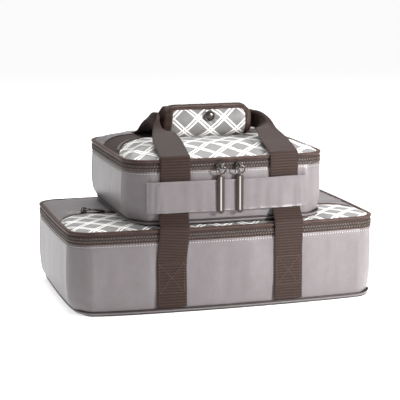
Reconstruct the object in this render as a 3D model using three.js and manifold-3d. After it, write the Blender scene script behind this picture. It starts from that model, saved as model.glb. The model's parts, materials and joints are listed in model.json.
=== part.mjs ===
// A stacked pair of insulated casserole carriers, held by one set of webbing straps.
// Millimetres. The origin is under the middle of the lower carrier: +X right, +Y back, +Z up.
import * as THREE from "three";
import { mergeVertices } from "three/addons/utils/BufferGeometryUtils.js";
import Module from "manifold-3d";

const wasm = await Module();
wasm.setup();

// Sheet stock and clearances
const clearance = 0.3;
const clothThickness = 1.2;
const insulationThickness = 5;
const liningThickness = 0.8;
const boardThickness = 2.4;
const bindingProud = 1;
const overrun = 20;

// The zipped band below each lid, from the top down
const bindingHeight = 4.2;
const bindingWidth = 4.6;
const upperTapeHeight = 3.6;
const coilHeight = 1.5;
const coilProud = 0.2;
const tapeRecess = 0.4;

// Lower carrier
const lowerWidth = 405;
const lowerFrontReach = 127.7;
const lowerRearReach = 123.5;
const lowerCornerRadius = 26;
const lowerFrontBow = 10;
const lowerSideBow = 2.5;
const lowerHeight = 106.7;
const lowerBandHeight = 15.8;
const lowerCrown = 2.7;

// Upper carrier, which stands on the lower lid
const upperWidth = 263;
const upperFrontReach = 117;
const upperRearReach = 123.5;
const upperCornerRadius = 30;
const upperFrontBow = 6.4;
const upperSideBow = 1.6;
const upperHeight = 82.8;
const upperBandHeight = 14.5;
const upperCrown = 10;
const upperOffset = 2.7;

// Base trim
const baseStripHeight = 4.2;
const pipingHeight = 3;
const pipingProud = 0.9;

// Lid pockets: the line of each pocket's rear edge, at its left and its right
const pocketCorner = 52;
const pocketTurn = 13;
const lowerPocketLeft = -4;
const lowerPocketRight = -30;
const upperPocketLeft = 14;
const upperPocketRight = 12;
const lowerPocketZipWidth = 5;
const upperPocketZipWidth = 36;

// Webbing
const webbingWidth = 38;
const webbingThickness = 1.6;
const sewnTop = 65;
const strapLeft = -76.3;
const strapRight = 76.3;
const frontSleeveLeft = -70.5;
const frontSleeveRight = 76.8;
const frontEdgeLeft = -68;
const frontEdgeRight = 73.5;
const rearEdgeLeft = -57;
const rearEdgeRight = 62;
const grippedWidth = 23;

// Strap sleeves
const sleeveRise = 16.3;
const sleeveHeight = 39.5;
const sleeveLeft = -104;
const sleeveRight = 103;
const sleeveRamp = 4;
const sleeveRoom = 1.5;

// Handle wrap
const wrapCentreX = 5.5;
const wrapRise = 32.5;
const wrapLength = 118;
const wrapHalfHeight = 22;
const wrapHalfDepth = 16;
const wrapPadThickness = 5.4;
const wrapBindingWidth = 9;
const wrapCorner = 17;
const underlapThickness = 1.2;
const legReach = 15;
const legRise = 3;
const snapX = 6;
const snapRise = 7;
const snapRadius = 7;
const snapHeight = 3.4;
const snapStem = 1.9;

// Zip sliders and pulls
const sliderWidth = 9;
const sliderLength = 10;
const sliderThickness = 3.6;
const bridgeRadius = 2.8;
const bridgeHole = 1.6;
const bridgeWidth = 2.2;
const ringRadius = 5;
const ringWire = 0.8;
const barWidth = 8.6;
const barThickness = 2.6;
const longBar = 46;
const shortBar = 15;
const mainSliderLeft = -11.3;
const mainSliderRight = 13.4;
const sideSliderSpacing = 24;
const lowerPocketSliderGap = 32.2;
const upperPocketSliderX = 28;

// Mesh fineness, in counts
const cornerSteps = 4;
const frontSteps = 6;
const sideSteps = 2;
const legSteps = 12;
const roundSteps = 20;
const wrapSteps = 14;
const wireSides = 6;

// Shares of a crowned lid's rise, from its edge to its middle
const crownInsetShares = [0, 0.06, 0.2, 0.45, 0.8];
const crownRiseShares = [0, 0.3, 0.68, 0.92, 1];

// Shares of a full turn that the wrap's layers cover, counted from its back over its top
const backTurnShares = [-0.22, 0.262];
const flapTurnShares = [0.29, 0.735];
const underlapTurnShares = [0.2, 0.46];

// Shares of a loop's leg over which the webbing turns on edge, and over which it is gathered
const legTurnShares = [0.6, 0.97];
const legNarrowingShares = [0.25, 0.75];

const finishes = {
  greyCloth: new THREE.MeshStandardMaterial({ color: 0x9a9492, roughness: 0.7, metalness: 0 }),
  latticeCloth: new THREE.MeshStandardMaterial({ color: 0xb9b7b5, roughness: 0.75, metalness: 0 }),
  brownWebbing: new THREE.MeshStandardMaterial({ color: 0x43352f, roughness: 0.8, metalness: 0 }),
  brownBinding: new THREE.MeshStandardMaterial({ color: 0x4b3833, roughness: 0.7, metalness: 0 }),
  zipCoil: new THREE.MeshStandardMaterial({ color: 0x33261f, roughness: 0.45, metalness: 0 }),
  insulation: new THREE.MeshStandardMaterial({ color: 0xe9e7e2, roughness: 0.9, metalness: 0 }),
  lining: new THREE.MeshStandardMaterial({ color: 0xc9cccf, roughness: 0.35, metalness: 0 }),
  board: new THREE.MeshStandardMaterial({ color: 0x2c2a29, roughness: 0.6, metalness: 0 }),
  chrome: new THREE.MeshStandardMaterial({ color: 0xb4b1ae, roughness: 0.2, metalness: 1 }),
  gunmetal: new THREE.MeshStandardMaterial({ color: 0x4a4643, roughness: 0.3, metalness: 1 }),
};

const group = new THREE.Group();

// Adds one named piece with a finish of its own.
function addPiece(name, geometry, finish, parent = group) {
  const mesh = new THREE.Mesh(geometry, finish.clone());
  mesh.name = name;
  parent.add(mesh);
  return mesh;
}

// A geometry as a solid that can be joined and cut.
function toSolid(geometry) {
  const bare = geometry.clone();
  bare.deleteAttribute("normal");
  bare.deleteAttribute("uv");
  const merged = mergeVertices(bare);
  return new wasm.Manifold(new wasm.Mesh({
    numProp: 3,
    vertProperties: merged.attributes.position.array,
    triVerts: new Uint32Array(merged.index.array),
  }));
}

function toGeometry(solid) {
  const { vertProperties, triVerts } = solid.getMesh();
  const geometry = new THREE.BufferGeometry();
  geometry.setAttribute("position", new THREE.BufferAttribute(vertProperties, 3));
  geometry.setIndex(new THREE.BufferAttribute(triVerts, 1));
  return geometry;
}

const cut = (body, tool) => toGeometry(toSolid(body).subtract(toSolid(tool)));
const common = (body, tool) => toGeometry(toSolid(body).intersect(toSolid(tool)));
const joined = (body, other) => toGeometry(toSolid(body).add(toSolid(other)));

function meshOf(points, faces) {
  const geometry = new THREE.BufferGeometry();
  geometry.setAttribute("position", new THREE.Float32BufferAttribute(points.flat(), 3));
  geometry.setIndex(faces);
  return geometry;
}

function box(low, high) {
  const size = low.map((value, axis) => high[axis] - value);
  const middle = low.map((value, axis) => (high[axis] + value) / 2);
  return new THREE.BoxGeometry(...size).translate(...middle);
}

// Everything that a carrier's pieces share: its plan, its heights and its lid.
const lower = {
  width: lowerWidth, front: lowerFrontReach, rear: lowerRearReach, corner: lowerCornerRadius,
  frontBow: lowerFrontBow, sideBow: lowerSideBow, centreX: 0, floor: 0, top: lowerHeight,
  band: lowerBandHeight, crown: lowerCrown, pocketLeft: lowerPocketLeft, pocketRight: lowerPocketRight,
  pocketZipWidth: lowerPocketZipWidth,
};
const upperFloor = lower.top - bindingProud + lower.crown + clearance;
const upper = {
  width: upperWidth, front: upperFrontReach, rear: upperRearReach, corner: upperCornerRadius,
  frontBow: upperFrontBow, sideBow: upperSideBow, centreX: upperOffset, floor: upperFloor,
  top: upperFloor + upperHeight, band: upperBandHeight, crown: upperCrown, pocketLeft: upperPocketLeft,
  pocketRight: upperPocketRight, pocketZipWidth: upperPocketZipWidth,
};

// Heights that follow the upper carrier
const sleeveBottom = upper.floor + sleeveRise;
const wrapCentreZ = upper.top + wrapRise;
const snapZ = wrapCentreZ + snapRise;

const halfWidthOf = (c) => c.width / 2 - c.sideBow;
const frontOf = (c) => c.front - c.frontBow;

// Moves a point of the straight-sided plan onto the plan whose front and sides bow out.
function bowed(c, x, y) {
  const middle = (c.rear - frontOf(c)) / 2;
  const along = (y - middle) / (c.rear - middle);
  const across = x / halfWidthOf(c);
  const frontGrowth = y < 0 ? 1 + (c.frontBow / frontOf(c)) * (1 - across ** 2) : 1;
  const sideGrowth = 1 + (c.sideBow / halfWidthOf(c)) * (1 - along ** 2);
  return [x * sideGrowth + c.centreX, y * frontGrowth];
}

// The carrier's front face at a place along X.
const frontFaceAt = (c, x) => bowed(c, x - c.centreX, -frontOf(c))[1];

// Edge-to-edge direction of a strap that lies on the front face at a place along X.
function alongFront(c, x) {
  const slope = (2 * c.frontBow * (x - c.centreX)) / halfWidthOf(c) ** 2;
  return new THREE.Vector3(1, slope, 0).normalize();
}

// Points of the plan outline, anticlockwise, pulled in by an inset.
function planOutline(c, inset) {
  const radius = Math.max(c.corner - inset, clearance);
  const x = halfWidthOf(c) - inset - radius;
  const back = c.rear - inset - radius;
  const front = -(frontOf(c) - inset - radius);
  const corners = [[x, back], [-x, back], [-x, front], [x, front]];
  const sides = [1, sideSteps, frontSteps, sideSteps];
  const points = [];
  corners.forEach(([cx, cy], quarter) => {
    for (let step = 0; step <= cornerSteps; step++) {
      const angle = (quarter + step / cornerSteps) * (Math.PI / 2);
      points.push([cx + radius * Math.cos(angle), cy + radius * Math.sin(angle)]);
    }
    const [fromX, fromY] = points[points.length - 1];
    const nextAngle = (quarter + 1) * (Math.PI / 2);
    const [nx, ny] = corners[(quarter + 1) % corners.length];
    const toX = nx + radius * Math.cos(nextAngle);
    const toY = ny + radius * Math.sin(nextAngle);
    for (let step = 1; step < sides[quarter]; step++) {
      const share = step / sides[quarter];
      points.push([fromX + (toX - fromX) * share, fromY + (toY - fromY) * share]);
    }
  });
  return points.map(([px, py]) => bowed(c, px, py));
}

// A solid whose profile runs round a carrier's plan. Profile points are [inset, height].
// A ring's profile closes on itself; a plate's is capped across the plan at both ends.
function roundPlan(c, profile, { ring }) {
  const rows = profile.map(([inset, height]) => planOutline(c, inset).map(([x, y]) => [x, y, height]));
  const count = rows[0].length;
  const points = rows.flat();
  const faces = [];
  const bands = ring ? rows.length : rows.length - 1;
  for (let row = 0; row < bands; row++) {
    const next = (row + 1) % rows.length;
    for (let step = 0; step < count; step++) {
      const turn = (step + 1) % count;
      const [a, b] = [row * count + step, row * count + turn];
      const [d, e] = [next * count + step, next * count + turn];
      faces.push(a, b, e, a, e, d);
    }
  }
  if (!ring) {
    const last = (rows.length - 1) * count;
    const bottomCentre = points.push([c.centreX, 0, profile[0][1]]) - 1;
    const topCentre = points.push([c.centreX, 0, profile[profile.length - 1][1]]) - 1;
    for (let step = 0; step < count; step++) {
      const turn = (step + 1) % count;
      faces.push(bottomCentre, turn, step, topCentre, last + step, last + turn);
    }
  }
  return meshOf(points, faces);
}

const ringBetween = (c, outer, inner, low, high) =>
  roundPlan(c, [[outer, low], [outer, high], [inner, high], [inner, low]], { ring: true });
const plateBetween = (c, inset, low, high) =>
  roundPlan(c, [[inset, low], [inset, high]], { ring: false });

// A tub with a floor, open above.
const tub = (c, outer, wall, low, floor, high) => roundPlan(
  c, [[outer, low], [outer, high], [outer + wall, high], [outer + wall, low + floor]], { ring: false });

// A crowned sheet: its top rises by the lid's crown, and its underside follows it or lies flat.
function crownedSheet(c, inset, height, thickness, flatUnder) {
  const reach = c.front;
  const rows = crownInsetShares.map((share, step) =>
    [inset + share * reach, height + crownRiseShares[step] * c.crown]);
  const under = flatUnder
    ? [[inset, height - thickness]]
    : rows.map(([at, z]) => [at, z - thickness]).reverse();
  return roundPlan(c, [...under, ...rows], { ring: false });
}

const wallInset = clothThickness + clearance;
const liningInset = wallInset + insulationThickness + clearance;

// Heights of the zipped band's four strips.
function bandLevels(c) {
  const binding = c.top - bindingHeight;
  const upperTape = binding - clearance - upperTapeHeight;
  const upperCoil = upperTape - clearance - coilHeight;
  const lowerCoil = upperCoil - clearance - coilHeight;
  return { binding, upperTape, upperCoil, lowerCoil, foot: c.top - c.band };
}

// Base panel with its upturned strip, the board in it, and the piping round the base.
function addBase(c, prefix) {
  const stripTop = c.floor + baseStripHeight;
  addPiece(`${prefix}_base_panel`,
    tub(c, 0, clothThickness, c.floor, clothThickness, stripTop), finishes.greyCloth);
  const boardLow = c.floor + clothThickness + clearance;
  addPiece(`${prefix}_base_board`,
    plateBetween(c, wallInset, boardLow, boardLow + boardThickness), finishes.board);
  const pipingLow = stripTop + clearance;
  const middle = pipingLow + pipingHeight / 2;
  const pipingTop = pipingLow + pipingHeight;
  addPiece(`${prefix}_base_piping`, roundPlan(c, [
    [0, pipingLow], [-pipingProud, middle], [0, pipingTop], [clothThickness, pipingTop],
    [clothThickness, pipingLow],
  ], { ring: true }), finishes.brownBinding);
}

// Wall cloth, insulation tub and lining, each inside the last.
function addWalls(c, prefix) {
  const levels = bandLevels(c);
  const wallLow = c.floor + baseStripHeight + pipingHeight + 2 * clearance;
  addPiece(`${prefix}_wall_cloth`,
    ringBetween(c, 0, clothThickness, wallLow, levels.foot - clearance), finishes.greyCloth);
  const tubLow = c.floor + clothThickness + boardThickness + 2 * clearance;
  const rim = levels.lowerCoil;
  addPiece(`${prefix}_insulation`,
    tub(c, wallInset, insulationThickness, tubLow, insulationThickness, rim), finishes.insulation);
  addPiece(`${prefix}_lining`,
    tub(c, liningInset, liningThickness, tubLow + insulationThickness + clearance, liningThickness, rim),
    finishes.lining);
}

// Lid insulation and lining, which the lid's cloth covers.
function addLidInside(c, prefix, parent, keep) {
  const levels = bandLevels(c);
  const inset = bindingWidth + clearance;
  const skin = c.top - bindingProud - clothThickness - clearance;
  addPiece(`${prefix}_lid_insulation`,
    keep(crownedSheet(c, inset, skin, skin - levels.upperTape, true)), finishes.insulation, parent);
  const liningTop = levels.upperTape - clearance;
  addPiece(`${prefix}_lid_lining`,
    keep(plateBetween(c, inset, liningTop - liningThickness, liningTop)), finishes.lining, parent);
}

// Plan of the cloth in front of a pocket's rear edge, moved back by a margin.
function pocketPlan(c, margin) {
  const halfWidth = c.width / 2 + overrun;
  const left = c.centreX - halfWidth;
  const right = c.centreX + halfWidth;
  const leftEdge = c.centreX - c.width / 2;
  const rightEdge = c.centreX + c.width / 2;
  const shape = new THREE.Shape();
  shape.moveTo(left, -c.front - overrun);
  shape.lineTo(right, -c.front - overrun);
  shape.lineTo(right, c.pocketRight - pocketCorner + margin);
  shape.lineTo(rightEdge, c.pocketRight - pocketCorner + margin);
  shape.quadraticCurveTo(rightEdge - pocketTurn, c.pocketRight + margin,
    rightEdge - pocketCorner - margin, c.pocketRight + margin);
  shape.lineTo(leftEdge + pocketCorner + margin, c.pocketLeft + margin);
  shape.quadraticCurveTo(leftEdge + pocketTurn, c.pocketLeft + margin,
    leftEdge, c.pocketLeft - pocketCorner + margin);
  shape.lineTo(left, c.pocketLeft - pocketCorner + margin);
  return new THREE.ExtrudeGeometry(shape, {
    depth: c.top + 2 * overrun, bevelEnabled: false, curveSegments: cornerSteps + 1,
  });
}

// The lid's cloth in three: pocket panel in front, zip strip behind it, then the rear panel.
function addLidCloth(c, prefix, parent, keep) {
  const inset = bindingWidth + clearance;
  const sheet = keep(crownedSheet(c, inset, c.top - bindingProud, clothThickness, false));
  const zipEnd = c.pocketZipWidth + clearance;
  addPiece(`${prefix}_lid_rear_panel`,
    cut(sheet, pocketPlan(c, zipEnd + clearance)), finishes.greyCloth, parent);
  addPiece(`${prefix}_lid_pocket_panel`, common(sheet, pocketPlan(c, 0)), finishes.latticeCloth, parent);
  addPiece(`${prefix}_pocket_zip`,
    cut(common(sheet, pocketPlan(c, zipEnd)), pocketPlan(c, clearance)), finishes.brownWebbing, parent);
}

// Rounded binding over the lid's edge.
const bindingRing = (c) => {
  const { binding } = bandLevels(c);
  return roundPlan(c, [
    [0, binding], [-bindingProud, binding + bindingProud], [-bindingProud, c.top - bindingProud],
    [bindingProud, c.top], [bindingWidth - bindingProud, c.top], [bindingWidth, c.top - bindingProud],
    [bindingWidth, binding],
  ], { ring: true });
};

const tapeRing = (c, low, high) => ringBetween(c, tapeRecess, clothThickness, low, high);
const coilRing = (c, low, high) => ringBetween(c, -coilProud, clothThickness, low, high);

function addLowerBand(c) {
  const levels = bandLevels(c);
  addPiece("lower_zip_tape_below",
    tapeRing(c, levels.foot, levels.lowerCoil - clearance), finishes.brownWebbing);
  addPiece("lower_zip_coil",
    coilRing(c, levels.lowerCoil, levels.upperCoil + coilHeight), finishes.zipCoil);
  addPiece("lower_zip_tape_above",
    tapeRing(c, levels.upperTape, levels.binding - clearance), finishes.brownWebbing);
  addPiece("lower_lid_binding", bindingRing(c), finishes.brownBinding);
}

// The upper band parts behind the hinge line: what lies in front of it opens with the lid.
function addUpperBand(c, lid, hingeY) {
  const levels = bandLevels(c);
  const reach = c.width + overrun;
  const lidSide = box([-reach, -reach, -overrun], [reach, hingeY - clearance, c.top + reach]);
  const bodySide = box([-reach, hingeY, -overrun], [reach, reach, c.top + reach]);
  addPiece("upper_zip_tape_below",
    tapeRing(c, levels.foot, levels.lowerCoil - clearance), finishes.brownWebbing);
  addPiece("upper_zip_coil_below",
    coilRing(c, levels.lowerCoil, levels.lowerCoil + coilHeight), finishes.zipCoil);
  const lidCoil = coilRing(c, levels.upperCoil, levels.upperCoil + coilHeight);
  addPiece("upper_zip_coil_above", common(lidCoil, lidSide), finishes.zipCoil, lid);
  const tape = tapeRing(c, levels.upperTape, levels.binding - clearance);
  addPiece("upper_zip_tape_above", common(tape, lidSide), finishes.brownWebbing, lid);
  addPiece("upper_lid_binding", common(bindingRing(c), lidSide), finishes.brownBinding, lid);
  const hingeStrip = ringBetween(c, -bindingProud, bindingWidth / 2, levels.upperCoil, c.top);
  addPiece("upper_hinge_strip", common(hingeStrip, bodySide), finishes.brownBinding);
}

// A flat strap through stations, each with a centre, a width and the direction from edge to edge.
function ribbon(stations) {
  const points = [];
  const faces = [];
  stations.forEach(({ centre, across: side, width }, step) => {
    const before = stations[Math.max(step - 1, 0)].centre;
    const after = stations[Math.min(step + 1, stations.length - 1)].centre;
    const face = side.clone().cross(after.clone().sub(before)).normalize();
    for (const [u, v] of [[-1, -1], [1, -1], [1, 1], [-1, 1]]) {
      const corner = centre.clone().addScaledVector(side, (u * width) / 2)
        .addScaledVector(face, (v * webbingThickness) / 2);
      points.push(corner.toArray());
    }
  });
  const sides = 4;
  for (let step = 0; step < stations.length - 1; step++) {
    for (let side = 0; side < sides; side++) {
      const a = step * sides + side;
      const b = step * sides + ((side + 1) % sides);
      faces.push(a, b + sides, b, a, a + sides, b + sides);
    }
  }
  const last = (stations.length - 1) * sides;
  faces.push(0, 1, 2, 0, 2, 3, last, last + 2, last + 1, last, last + 3, last + 2);
  return meshOf(points, faces);
}

const halfWebbing = webbingThickness / 2;
const loopFoot = upper.top - bindingHeight;

// A riser: sewn to the lower wall, free up past both zipped bands, ending where its loop begins.
function addRiser(name, onFront, sewnX, sleeveX, edgeX) {
  const out = onFront ? -1 : 1;
  const faceOf = (c, x) => (onFront ? frontFaceAt(c, x) : c.rear);
  const acrossOn = (c, x) => (onFront ? alongFront(c, x) : new THREE.Vector3(1, 0, 0));
  const across = new Map([[lower, acrossOn(lower, sewnX)], [upper, acrossOn(upper, sleeveX)]]);
  const xAt = (z) => THREE.MathUtils.mapLinear(z, sewnTop, sleeveBottom, sewnX, sleeveX);
  const lowerWall = faceOf(lower, sewnX) + out * (clearance + halfWebbing);
  const lowerBand = lowerWall + out * (bindingProud + 2 * clearance);
  const upperWall = faceOf(upper, sleeveX) + out * (2 * clearance + halfWebbing);
  const upperBand = faceOf(upper, edgeX) + out * (bindingProud + 2 * clearance + halfWebbing);
  const pipingTop = upper.floor + baseStripHeight + pipingHeight + clearance;
  const risen = (pipingTop - lower.top) / (sleeveBottom - lower.top);
  const leaning = THREE.MathUtils.lerp(lowerBand, upperWall, risen);
  const piping = out * upperWall + pipingProud;
  const outermost = out * Math.max(out * lowerBand, piping);
  const overPiping = out * Math.max(out * leaning, piping);
  const bindingFoot = lower.top - bindingHeight - clearance;
  const places = [
    [lower, sewnX, lowerWall, baseStripHeight + pipingHeight + 2 * clearance],
    [lower, sewnX, lowerWall, sewnTop],
    [lower, xAt(bindingFoot), lowerBand, bindingFoot],
    [lower, xAt(lower.top), outermost, lower.top],
    [upper, xAt(pipingTop), overPiping, pipingTop],
    [upper, sleeveX, upperWall, sleeveBottom - clearance],
    [upper, edgeX, upperWall, sleeveBottom + sleeveHeight],
    [upper, edgeX, upperBand, upper.top - upper.band],
    [upper, edgeX, upperBand, loopFoot - clearance],
  ];
  const stations = places.map(([c, x, y, z]) => ({
    centre: new THREE.Vector3(x, y, z), across: across.get(c), width: webbingWidth,
  }));
  addPiece(name, ribbon(stations), finishes.brownWebbing);
}

// One leg of a loop, from its foot at a lid's edge up to the grip, with the strap turning on edge.
function legStations(onFront, edgeX, gripX, turnX) {
  const out = onFront ? -1 : 1;
  const face = onFront ? frontFaceAt(upper, edgeX) : upper.rear;
  const footY = face + out * (bindingProud + 2 * clearance + halfWebbing);
  const gripY = out * (halfWebbing + clearance);
  const overEdge = upper.top + webbingThickness + bindingProud;
  const places = [
    [edgeX, footY, loopFoot],
    [edgeX, footY, upper.top - bindingProud],
    [edgeX, footY - out * webbingThickness, overEdge],
    [edgeX, footY - out * 2 * bindingWidth, overEdge + legRise],
    [(edgeX + turnX) / 2, footY / 2, (overEdge + wrapCentreZ) / 2 + legRise],
    [turnX, out * 2 * legReach, wrapCentreZ - bindingHeight],
    [turnX, out * legReach, wrapCentreZ - bindingProud],
    [(turnX + gripX) / 2, gripY + out * legRise, wrapCentreZ],
    [gripX, gripY, wrapCentreZ],
  ].map((place) => new THREE.Vector3(...place));
  const curve = new THREE.CatmullRomCurve3(places, false, "centripetal");
  const flat = onFront ? alongFront(upper, edgeX) : new THREE.Vector3(1, 0, 0);
  const onEdge = new THREE.Vector3(0, 0, Math.sign(turnX - gripX));
  const stations = [];
  for (let step = 0; step <= legSteps; step++) {
    const share = step / legSteps;
    const along = curve.getTangent(share);
    const across = flat.clone().lerp(onEdge, THREE.MathUtils.smoothstep(share, ...legTurnShares));
    across.addScaledVector(along, -across.dot(along)).normalize();
    const narrowing = THREE.MathUtils.smoothstep(share, ...legNarrowingShares);
    const width = THREE.MathUtils.lerp(webbingWidth, grippedWidth, narrowing);
    stations.push({ centre: curve.getPoint(share), across, width });
  }
  return stations;
}

function addLoop(name, onFront, edgeLeft, edgeRight) {
  const gripLeft = wrapCentreX - wrapLength / 2 - clearance;
  const gripRight = wrapCentreX + wrapLength / 2 + clearance;
  const left = legStations(onFront, edgeLeft, gripLeft, gripLeft - legReach);
  const right = legStations(onFront, edgeRight, gripRight, gripRight + legReach);
  for (const station of right) station.across.negate();
  const turned = onFront ? left : left.map((station) => ({ ...station, across: station.across.negate() }));
  const other = onFront ? right : right.map((station) => ({ ...station, across: station.across.negate() }));
  addPiece(name, ribbon([...turned, ...other.reverse()]), finishes.brownWebbing);
}

// A sleeve across a carrier's face: it stands off for the straps and meets the wall at its ends.
function addSleeve(name, onFront) {
  const out = onFront ? -1 : 1;
  const stand = webbingThickness + sleeveRoom;
  const wallAt = (x) => (onFront ? frontFaceAt(upper, x) : upper.rear);
  const middle = (sleeveLeft + sleeveRight) / 2;
  const xs = [sleeveLeft, sleeveLeft + sleeveRamp];
  for (let step = 1; step < frontSteps; step++) {
    const from = sleeveLeft + sleeveRamp;
    const to = sleeveRight - sleeveRamp;
    xs.push(from + ((to - from) * step) / frontSteps);
  }
  xs.push(sleeveRight - sleeveRamp, sleeveRight);
  const inner = xs.map((x) => {
    const atEnd = Math.abs(x - middle) > (sleeveRight - sleeveLeft) / 2 - sleeveRamp / 2;
    return [x, wallAt(x) + out * (atEnd ? clearance : stand)];
  });
  const outer = inner.map(([x, y]) => [x, y + out * clothThickness]).reverse();
  const shape = new THREE.Shape([...inner, ...outer].map(([x, y]) => new THREE.Vector2(x, y)));
  const sleeve = new THREE.ExtrudeGeometry(shape, { depth: sleeveHeight, bevelEnabled: false });
  addPiece(name, sleeve.translate(0, 0, sleeveBottom), finishes.greyCloth);
}

// A layer of the handle wrap between two depths under its skin and two angles, counted from its back.
function wrapLayer(shallow, deep, fromTurn, toTurn) {
  const arc = (depth, turn) => new THREE.Vector2(
    (wrapHalfDepth - depth) * Math.cos(turn * 2 * Math.PI),
    wrapCentreZ + (wrapHalfHeight - depth) * Math.sin(turn * 2 * Math.PI));
  const turns = [];
  for (let step = 0; step <= wrapSteps; step++) turns.push(fromTurn + ((toTurn - fromTurn) * step) / wrapSteps);
  const outline = [...turns.map((turn) => arc(shallow, turn)), ...turns.reverse().map((turn) => arc(deep, turn))];
  const layer = new THREE.ExtrudeGeometry(new THREE.Shape(outline), { depth: wrapLength, bevelEnabled: false });
  const alongX = new THREE.Matrix4().makeBasis(
    new THREE.Vector3(0, 1, 0), new THREE.Vector3(0, 0, 1), new THREE.Vector3(1, 0, 0));
  return layer.applyMatrix4(alongX).translate(wrapCentreX - wrapLength / 2, 0, 0);
}

// The flap's outline seen from the front, pulled in at its ends and its top by an inset.
function flapOutline(inset, foot) {
  const left = wrapCentreX - wrapLength / 2 + inset;
  const right = wrapCentreX + wrapLength / 2 - inset;
  const top = wrapCentreZ + wrapHalfHeight - inset;
  const bottom = wrapCentreZ - wrapHalfHeight - foot;
  const corner = wrapCorner - inset / 2;
  const shape = new THREE.Shape();
  shape.moveTo(left, bottom);
  shape.lineTo(right, bottom);
  shape.lineTo(right, top - corner);
  shape.absarc(right - corner, top - corner, corner, 0, Math.PI / 2, false);
  shape.absarc(left + corner, top - corner, corner, Math.PI / 2, Math.PI, false);
  const slab = new THREE.ExtrudeGeometry(shape, {
    depth: 2 * wrapHalfDepth + overrun, bevelEnabled: false, curveSegments: cornerSteps + 1,
  });
  const facingFront = new THREE.Matrix4().makeBasis(
    new THREE.Vector3(1, 0, 0), new THREE.Vector3(0, 0, 1), new THREE.Vector3(0, -1, 0));
  return slab.applyMatrix4(facingFront).translate(0, wrapHalfDepth + overrun / 2, 0);
}

// A disc or stem that points forward, from one place on Y to another.
function forwardRod(radius, fromY, toY) {
  const rod = new THREE.CylinderGeometry(radius, radius, Math.abs(toY - fromY), roundSteps);
  return rod.translate(snapX, (fromY + toY) / 2, snapZ);
}

function addWrap(back, flap) {
  const skin = bindingProud;
  const padOuter = skin + clothThickness + clearance;
  const padInner = padOuter + wrapPadThickness;
  const backCover = wrapLayer(skin, skin + clothThickness, ...backTurnShares);
  addPiece("wrap_back_cover",
    common(backCover, flapOutline(0, overrun)), finishes.latticeCloth, back);
  const backPad = wrapLayer(padOuter, padInner, ...backTurnShares);
  addPiece("wrap_back_pad",
    common(backPad, flapOutline(wrapBindingWidth / 2, overrun)), finishes.insulation, back);

  const hole = forwardRod(snapStem + clearance, 0, -2 * wrapHalfDepth);
  const underlap = wrapLayer(padInner + clearance, padInner + clearance + underlapThickness,
    ...underlapTurnShares);
  addPiece("wrap_underlap", cut(underlap, hole), finishes.brownBinding, back);

  const cover = wrapLayer(skin, skin + clothThickness, ...flapTurnShares);
  const panel = common(cover, flapOutline(wrapBindingWidth, overrun));
  addPiece("wrap_flap_cover", cut(panel, hole), finishes.latticeCloth, flap);
  const pad = common(wrapLayer(padOuter, padInner, ...flapTurnShares),
    flapOutline(wrapBindingWidth / 2, overrun));
  addPiece("wrap_flap_pad", cut(pad, hole), finishes.insulation, flap);
  const rim = common(wrapLayer(0, skin + clothThickness, ...flapTurnShares),
    flapOutline(0, overrun));
  addPiece("wrap_flap_binding",
    cut(rim, flapOutline(wrapBindingWidth - clearance, overrun)), finishes.brownBinding, flap);
}

// Snap: a domed cap with its stem through the flap, and a stud held by the underlap.
function addSnap(back, flap) {
  const rise = Math.sqrt(1 - ((snapZ - wrapCentreZ) / wrapHalfHeight) ** 2);
  const surface = -wrapHalfDepth * rise;
  const dome = [];
  const domeSteps = cornerSteps + 1;
  dome.push(new THREE.Vector2(0, 0));
  for (let step = 0; step <= domeSteps; step++) {
    const angle = (step / domeSteps) * (Math.PI / 2);
    dome.push(new THREE.Vector2(snapRadius * Math.cos(angle), snapHeight * Math.sin(angle)));
  }
  dome[dome.length - 1].x = 0;
  const cap = new THREE.LatheGeometry(dome, roundSteps).rotateX(Math.PI);
  const socketY = surface + clothThickness + wrapPadThickness + clearance;
  const capStem = forwardRod(snapStem, surface - clearance, socketY);
  cap.translate(snapX, surface - clearance, snapZ);
  addPiece("snap_cap", joined(cap, capStem), finishes.gunmetal, flap);
  const discBack = -(webbingThickness + 3 * clearance);
  const head = forwardRod(snapStem, socketY + clearance, discBack - bindingProud / 2);
  const studDisc = forwardRod(snapRadius / 2, discBack - bindingProud, discBack);
  addPiece("snap_stud", joined(head, studDisc), finishes.gunmetal, back);
}

// The pull's eye in front of its slider's back
const bridgeOutset = -(sliderThickness + bridgeHole + clearance / 2);

// A slider seen from the front at its own origin: its back at Y 0, its bridge forward.
function sliderGeometry() {
  const plate = box(
    [-sliderLength / 2, -sliderThickness, -sliderWidth / 2], [sliderLength / 2, 0, sliderWidth / 2]);
  const arch = new THREE.Shape();
  arch.absarc(0, 0, bridgeRadius, -Math.PI / 2, Math.PI / 2, false);
  arch.lineTo(-bridgeRadius, bridgeRadius);
  arch.lineTo(-bridgeRadius, -bridgeRadius);
  const eye = new THREE.Path();
  eye.absarc(0, 0, bridgeHole, 0, 2 * Math.PI, true);
  arch.holes.push(eye);
  const bridge = new THREE.ExtrudeGeometry(arch, {
    depth: bridgeWidth, bevelEnabled: false, curveSegments: cornerSteps + 1,
  });
  const alongX = new THREE.Matrix4().makeBasis(
    new THREE.Vector3(0, -1, 0), new THREE.Vector3(0, 0, -1), new THREE.Vector3(1, 0, 0));
  bridge.applyMatrix4(alongX);
  bridge.translate(-bridgeWidth / 2, bridgeOutset, 0);
  return joined(plate, bridge);
}
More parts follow.
